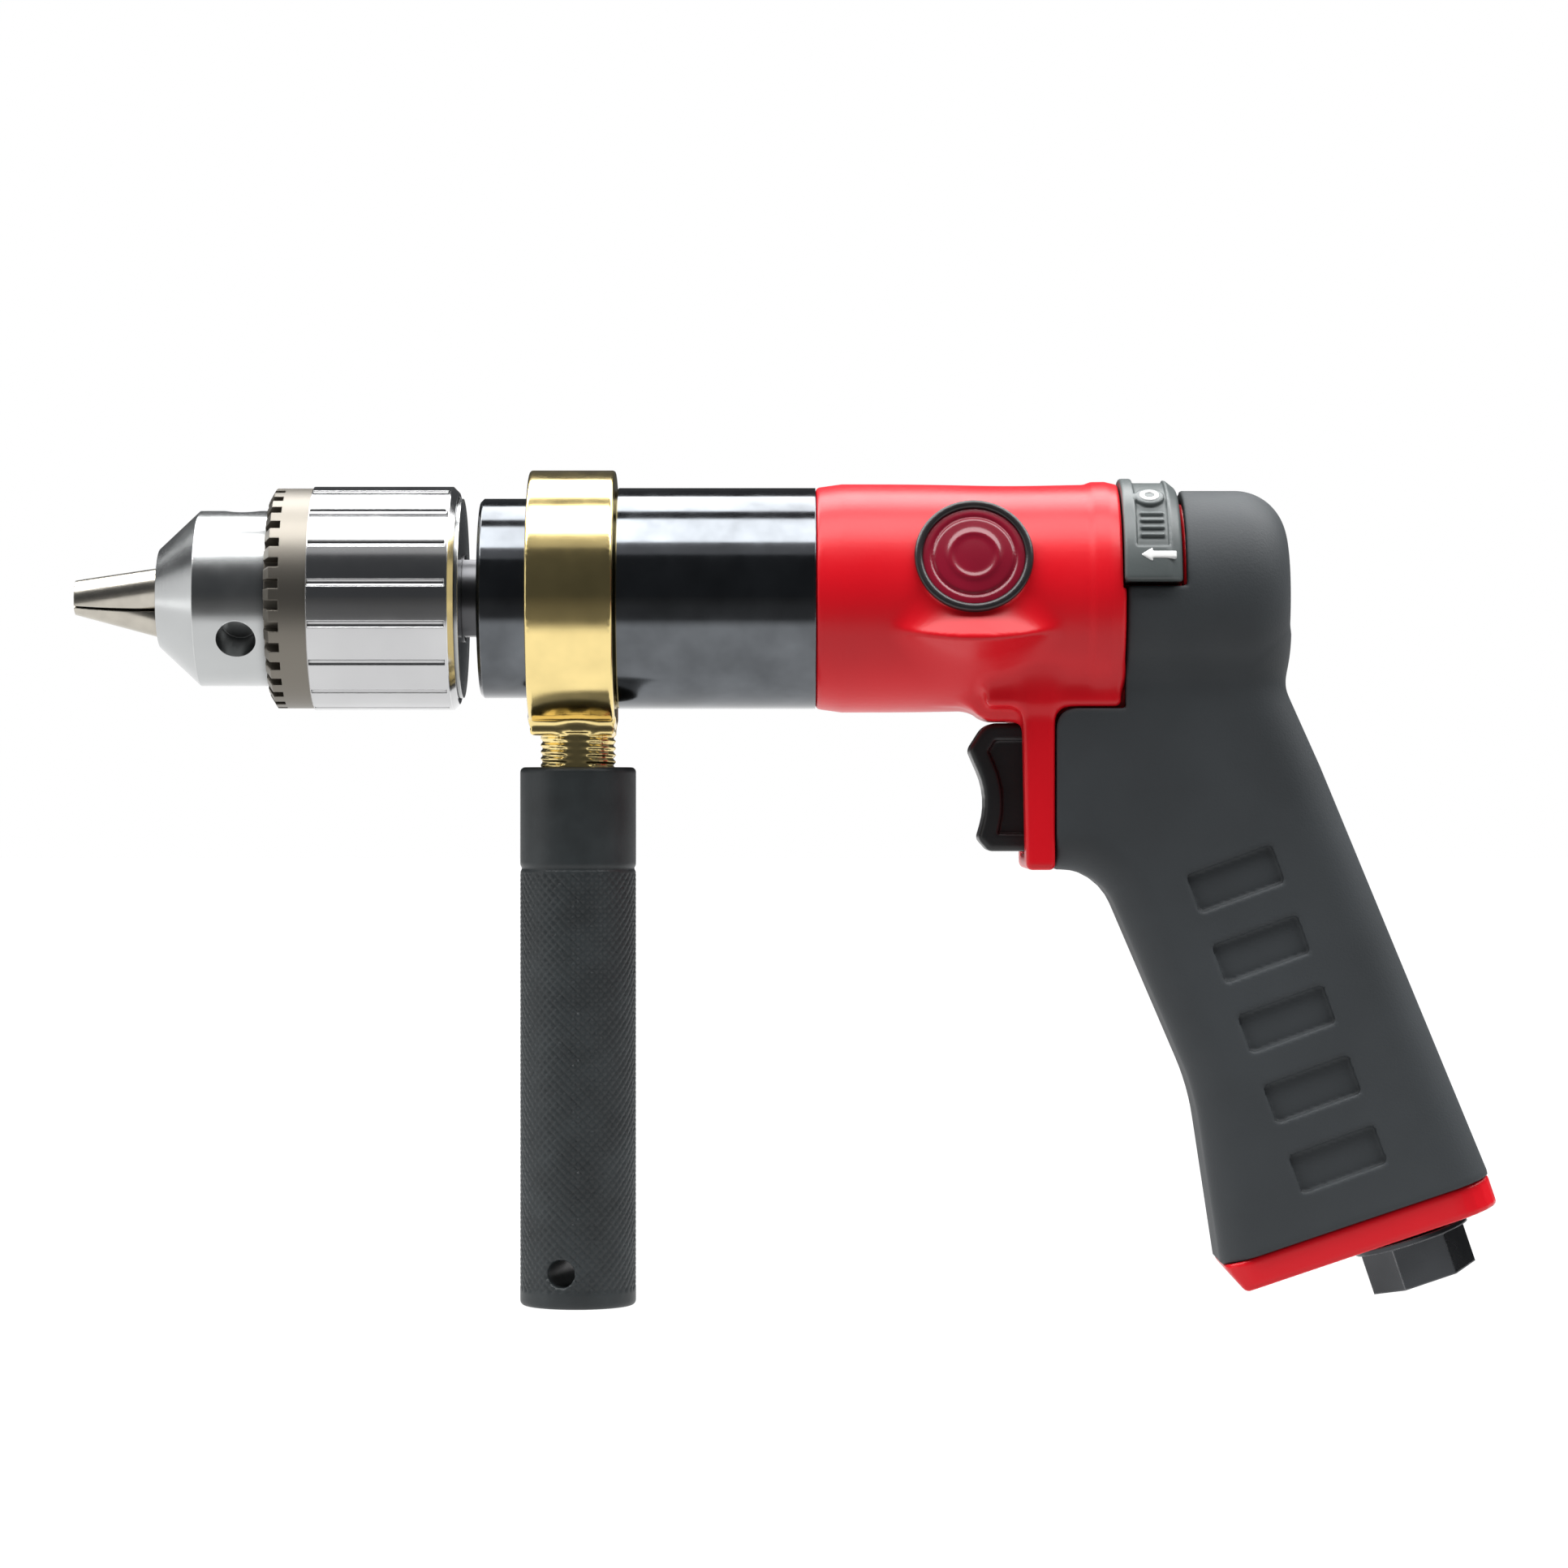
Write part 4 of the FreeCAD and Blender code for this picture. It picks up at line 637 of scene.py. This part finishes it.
ring_grey = finish("moulded_grey_plastic", (0.085, 0.098, 0.098), rough=0.36, shine=0.45, blotch=0.10,
                   grain_depth=0.00002, edge_colour=(0.16, 0.17, 0.17))
mark_white = finish("white_mark_plastic", (0.80, 0.80, 0.79), rough=0.45, blotch=0.05)
ring_box = (ring_low - 1, ring_high + 1)
made("reverse_ring_saddle", ring_shape, *ring_box, 0.35, ring_grey, "reverse_ring", "ring_plastic",
     "reverse_ring")
made("reverse_ring_button", button_shape, (ring_x, -20, 12), (ring_high[0], -6, 26), 0.3, mark_white,
     "reverse_ring", "ring_plastic")
for arrow_side, arrow_angle in (("near", 71), ("far", -47)):
    made("reverse_arrow_" + arrow_side, arrow_shape(math.radians(arrow_angle)), *ring_box, 0.3, mark_white,
         "reverse_ring", "ring_plastic")

# --- Trigger ------------------------------------------------------------------------------------
# Moulded black plastic on a steel stem. The finger's face is curved and wider than the body
# behind it, which slides in the strap's slot.
pull_front, pull_back = trigger_low[0], trigger_high[0]
pull_top, pull_foot = trigger_high[2], trigger_low[2]
PULL_HALF, HOLLOW_HALF, HOLLOW_RIM = 7.8, 6.3, 3.6
STEM_Z, STEM_RADIUS = -38, 2.05
pull_edge = arced([(pull_back + 8, pull_top), (pull_front + 3.5, pull_top, 4),
                   (pull_front, pull_top - 5.5, 2), (pull_front + 4.3, -41, 16),
                   (pull_front + 1.9, -49.4, 1.6), (pull_front + 4.1, pull_foot, 1.6),
                   (pull_back + 8, pull_foot)])


def trigger_shape(x, y, z):
    """The blade with a hollow in each side and a bore for the stem."""
    edge = outline(pull_edge, x, z)
    blade = np.maximum(within(1.2, edge, np.abs(y) - PULL_HALF), x - pull_back)
    hollow = np.maximum(edge + HOLLOW_RIM, HOLLOW_HALF - np.abs(y))
    bore = np.maximum(np.hypot(y, z - STEM_Z) - STEM_RADIUS, pull_front + 6.5 - x)
    return pare(pare(blade, hollow, 0.6), bore, 0.2)


trigger_black = finish("moulded_black_plastic", (0.014, 0.015, 0.016), rough=0.36, shine=0.4,
                       grain_depth=0.00002, edge_colour=(0.05, 0.05, 0.05))
made("trigger_blade", trigger_shape, trigger_low, trigger_high, 0.4, trigger_black, "trigger",
     "black_plastic", "trigger")

# --- Grip ---------------------------------------------------------------------------------------
# The casting's core runs down inside the grip with the air passages and the throttle in it. Soft
# black rubber is moulded over it, with five shallow pads on each side for the palm.
BASE_X, BASE_Z, BASE_TILT = 262.6, -126.75, math.radians(18.66)
CORE_HALF, THROTTLE_RADIUS = 13.6, 7.3
INLET_ALONG, INLET_RADIUS = 10, 8.1
PAD_X, PAD_Z, PAD_STEP_X, PAD_STEP_Z = 237.1, -57.3, 5.17, 14.2
PAD_TURN, PAD_HALF_LONG, PAD_HALF_HIGH, PAD_DEPTH = math.radians(20.2), 9.2, 4.1, 1.3


def base_frame(x, z):
    """Distance along the tilted base, and height above it."""
    x, z = x - BASE_X, z - BASE_Z
    along = x * math.cos(BASE_TILT) + z * math.sin(BASE_TILT)
    above = z * math.cos(BASE_TILT) - x * math.sin(BASE_TILT)
    return along, above


core_edge = arced([(198, -15), (198, -52.6), (212.5, -52.6, 12), (232.5, -100.7, 50), (239, -146),
                   (297, -146), (253, -37.5), (245.6, -20, 14), (246, 0), (214, 0)])
grip_edge = arced([(185, -8), (185, STRAP_FOOT), (210, STRAP_FOOT, 12), (229.3, -100.7, 50),
                   (234.6, -135.8, 60), (237.2, -156), (305.2, -156), (255, -34.5, 60),
                   (247.6, -18, 14), (247.6, -8)])


def core_room(x, y, z):
    """The space in the rubber that the casting's core fills."""
    return within(7.5, outline(core_edge, x, z) + 0.5, np.abs(y) - CORE_HALF)


def core_shape(x, y, z):
    """The casting's core, bored for the throttle and the air, and hollow at its foot for the felt."""
    along, above = base_frame(x, z)
    core = np.maximum(core_room(x, y, z) + 0.15, 0.3 - above)
    throttle = np.maximum(np.hypot(y, z - STEM_Z) - THROTTLE_RADIUS, between(x, 203.8, 240))
    air_way = np.maximum(np.hypot(along - INLET_ALONG, y) - INLET_RADIUS, -2 - above)
    felt_room = within(0.2, between(along, -24.5, -0.5), np.abs(y) - 11, above - 9)
    head = np.maximum(np.sqrt(y ** 2 + z ** 2) - 19.6, x - 250)
    for tool in (throttle, air_way, felt_room, trigger_slot(x, y, z), head):
        core = pare(core, tool, 0.3)
    return core


def grip_shape(x, y, z):
    """The rubber round the core and the barrel's rear end, cut off at the tilted base."""
    radial = np.sqrt(y ** 2 + z ** 2)
    along, above = base_frame(x, z)
    edge = outline(grip_edge, x, z)
    handle = within(8.5, edge, np.abs(y) - GRIP_HALF)
    head = within(10.5, radial - 22.1, x - 248.7, barrel_end - 8 - x)
    grip = melt(head, handle, 3.5)
    housing_side = melt(x - strap_high - 0.25, np.maximum(x - barrel_end - 0.25, SHELF_Z - 0.25 - z), 4.5)
    grip = pare(grip, housing_side, 0.6)
    grip = pare(grip, above, 0.8)
    for place in range(5):
        across, up = x - PAD_X - PAD_STEP_X * place, z - PAD_Z + PAD_STEP_Z * place
        pad_along = across * math.cos(PAD_TURN) + up * math.sin(PAD_TURN)
        pad_up = up * math.cos(PAD_TURN) - across * math.sin(PAD_TURN)
        pad = within(1.0, np.abs(pad_along) - PAD_HALF_LONG, np.abs(pad_up) - PAD_HALF_HIGH)
        grip = pare(grip, np.maximum(pad, GRIP_HALF - PAD_DEPTH - np.abs(y)), 0.15)
    ring_window = np.maximum(between(x, 190, ring_high[0] + 0.9), np.maximum(14.6 - radial, 1.8 - z))
    grip = pare(grip, ring_window, 0.5)
    head_room = within(8.5, radial - 19.5, x - 246.2)
    return pare(pare(grip, core_room(x, y, z), 0.3), head_room, 0.3)


# Painted shade darkens the pads' recessed edges and the grip's corners.
rubber = finish("overmoulded_rubber", (0.036, 0.041, 0.045), rough=0.62, shine=0.35, blotch=0.14,
                blotch_size=0.03, grain_size=0.0005, grain_depth=0.00004, painted_shade=0.6)
made("grip_core", core_shape, (197, -15, -138), (288, 15, 0), 1.2, red_enamel, "housing", "red_paint",
     "motor_housing")
made("grip_overmould", grip_shape, (200, -22.3, -137), (291, 22.3, 22.3), 0.65, rubber, "housing",
     "black_rubber", "grip_sleeve")

# --- Exhaust cap and inlet ----------------------------------------------------------------------
# A red cast plate closes the grip's foot and lets the spent air out through four slots, behind
# which lies a felt muffler. A blackened steel hexagon bushing takes the hose fitting.
CAP_FRONT, CAP_BACK, CAP_HALF, CAP_DEPTH = -29.4, 28.2, 15.5, 6.3
cap_edge = arced([(CAP_FRONT, -CAP_HALF, 5), (CAP_BACK, -CAP_HALF, 9), (CAP_BACK, CAP_HALF, 9),
                  (CAP_FRONT, CAP_HALF, 5)])


def cap_shape(x, y, z):
    """A plate with a slanted front, four slots and the inlet's hole."""
    along, above = base_frame(x, z)
    plate = within(0.8, outline(cap_edge, along, y), between(above, -CAP_DEPTH, -0.05),
                   (CAP_FRONT - 0.45 * above - along) * 0.91)
    for slot_along in (-24.0, -19.5, -15.0, -10.5):
        plate = pare(plate, within(0.5, np.abs(along - slot_along) - 1.1, np.abs(y) - 9), 0.3)
    return pare(plate, np.hypot(along - INLET_ALONG, y) - INLET_RADIUS, 0.3)


felt = finish("grey_felt", (0.22, 0.21, 0.20), rough=0.95, shine=0.1, blotch=0.25, blotch_size=0.002,
              grain_size=0.0003, grain_depth=0.0001)
inlet_black = finish("blackened_inlet_steel", (0.055, 0.058, 0.062), metallic=1.0, rough=0.26, blotch=0.25,
                     lines=TURNED, line_depth=0.000003, edge_colour=(0.35, 0.35, 0.36), edge_width=0.0005)
made("exhaust_cap_plate", cap_shape, *box_mm("exhaust_cap"), 0.5, red_enamel, "housing", "red_paint",
     "exhaust_cap")
dress(felt, "muffler_felt")
dress(inlet_black, "inlet_bushing")

# --- Clamp band ---------------------------------------------------------------------------------
# Bent and machined steel with bright brass plating. Its split ends form a flattened stud with a
# thread on it; the handle screws on the thread and pulls the band tight on the gear case.
band_low, band_high = box_mm("clamp_band")
band_out = band_high[2]
stud_x = (band_low[0] + band_high[0]) / 2 + 1.0
STUD_RADIUS, THREAD_PITCH, THREAD_DEPTH, THREAD_TOP = 7.85, 1.4, 0.6, -28.2
NECK_RADIUS, SLIT_HALF = 20.56, 0.7


def band_shape(x, y, z):
    """A ring round the gear case's neck, slit below, with a shoulder and a stud with two flats."""
    radial = np.sqrt(y ** 2 + z ** 2)
    ring = within(0.7, radial - band_out, between(x, band_low[0], band_high[0]))
    stud_away, stud_angle = np.hypot(x - stud_x, y), np.arctan2(y, x - stud_x)
    turn = np.mod(z / THREAD_PITCH + stud_angle / (2 * math.pi), 1.0)
    groove = THREAD_DEPTH * (1 - np.abs(turn * 2 - 1)) * (z < THREAD_TOP)
    stud = within(0.5, (stud_away - STUD_RADIUS + groove) * 0.85, band_low[2] - z, z + 21)
    shoulder = within(0.8, np.abs(x - stud_x + 1) - 8.6, np.abs(y) - 7, between(z, THREAD_TOP, -18))
    band = melt(melt(ring, shoulder, 1.2), stud, 0.5)
    flats = within(0.2, 7.2 - np.abs(y), between(z, band_low[2] - 5, -27.6))
    slit = np.maximum(np.abs(y) - SLIT_HALF, z)
    return pare(pare(pare(band, flats, 0.2), slit, 0.2), radial - NECK_RADIUS, 0.4)


brass = finish("bright_brass_plate", (0.86, 0.68, 0.30), metallic=1.0, rough=0.15, blotch=0.10,
               blotch_size=0.012, rough_swing=0.05, lines=TURNED, line_depth=0.000003,
               edge_colour=(0.92, 0.82, 0.58))
made("clamp_band_shape", band_shape, (band_low[0], -27, band_low[2]), (band_high[0], 27, band_out), 0.36,
     brass, "clamp_band", "brass_plate", "clamp_band")

# --- Side handle --------------------------------------------------------------------------------
# A turned and blackened bar with a smooth collar and a fine diamond knurl. A cross hole near its
# foot takes a tommy bar for tightening it.
bar_low, bar_high = box_mm("side_handle")
bar_radius = (bar_high[1] - bar_low[1]) / 2
collar_foot = bar_high[2] - 20.8
KNURL_PITCH, KNURL_DEPTH = 1.9, 0.32
TOMMY_Z, TOMMY_RADIUS, TOMMY_TURN = -137.9, 2.85, math.radians(15.5)


def side_bar_shape(x, y, z):
    """A bar with a groove below its collar, crossed knurl grooves, a socket and a cross hole."""
    away, angle = np.hypot(x - stud_x, y), np.arctan2(y, x - stud_x)
    starts = round(2 * math.pi * bar_radius / KNURL_PITCH)
    right = np.mod(angle * starts / (2 * math.pi) + z / KNURL_PITCH, 1.0)
    left = np.mod(angle * starts / (2 * math.pi) - z / KNURL_PITCH, 1.0)
    grooves = np.maximum(np.abs(right - 0.5), np.abs(left - 0.5)) * 2
    cut_here = np.clip((collar_foot - 0.6 - z) / 0.4, 0, 1) * np.clip((z - bar_low[2] - 3.2) / 0.4, 0, 1)
    sink = KNURL_DEPTH * grooves ** 3 * cut_here + 0.35 * np.exp(-((z - collar_foot) / 0.5) ** 2)
    handle = within(1.0, away - bar_radius + sink, between(z, bar_low[2], bar_high[2]))
    socket = np.maximum(away - STUD_RADIUS - 0.1, band_low[2] - 2 - z)
    across = (x - stud_x) * math.cos(TOMMY_TURN) - y * math.sin(TOMMY_TURN)
    return pare(pare(handle, socket, 0.6), np.hypot(across, z - TOMMY_Z) - TOMMY_RADIUS, 0.5)


handle_black = finish("blackened_knurled_steel", (0.024, 0.029, 0.031), rough=0.45, shine=0.4,
                      blotch=0.25, blotch_size=0.008, grain_depth=0.00002,
                      edge_colour=(0.09, 0.095, 0.10))
made("side_handle_bar", side_bar_shape, (stud_x - bar_radius, -bar_radius, bar_low[2]),
     (stud_x + bar_radius, bar_radius, bar_high[2]), 0.34, handle_black, "side_handle", "handle_black",
     "side_handle")

# --- Update -------------------------------------------------------------------------------------
bpy.context.view_layer.update()
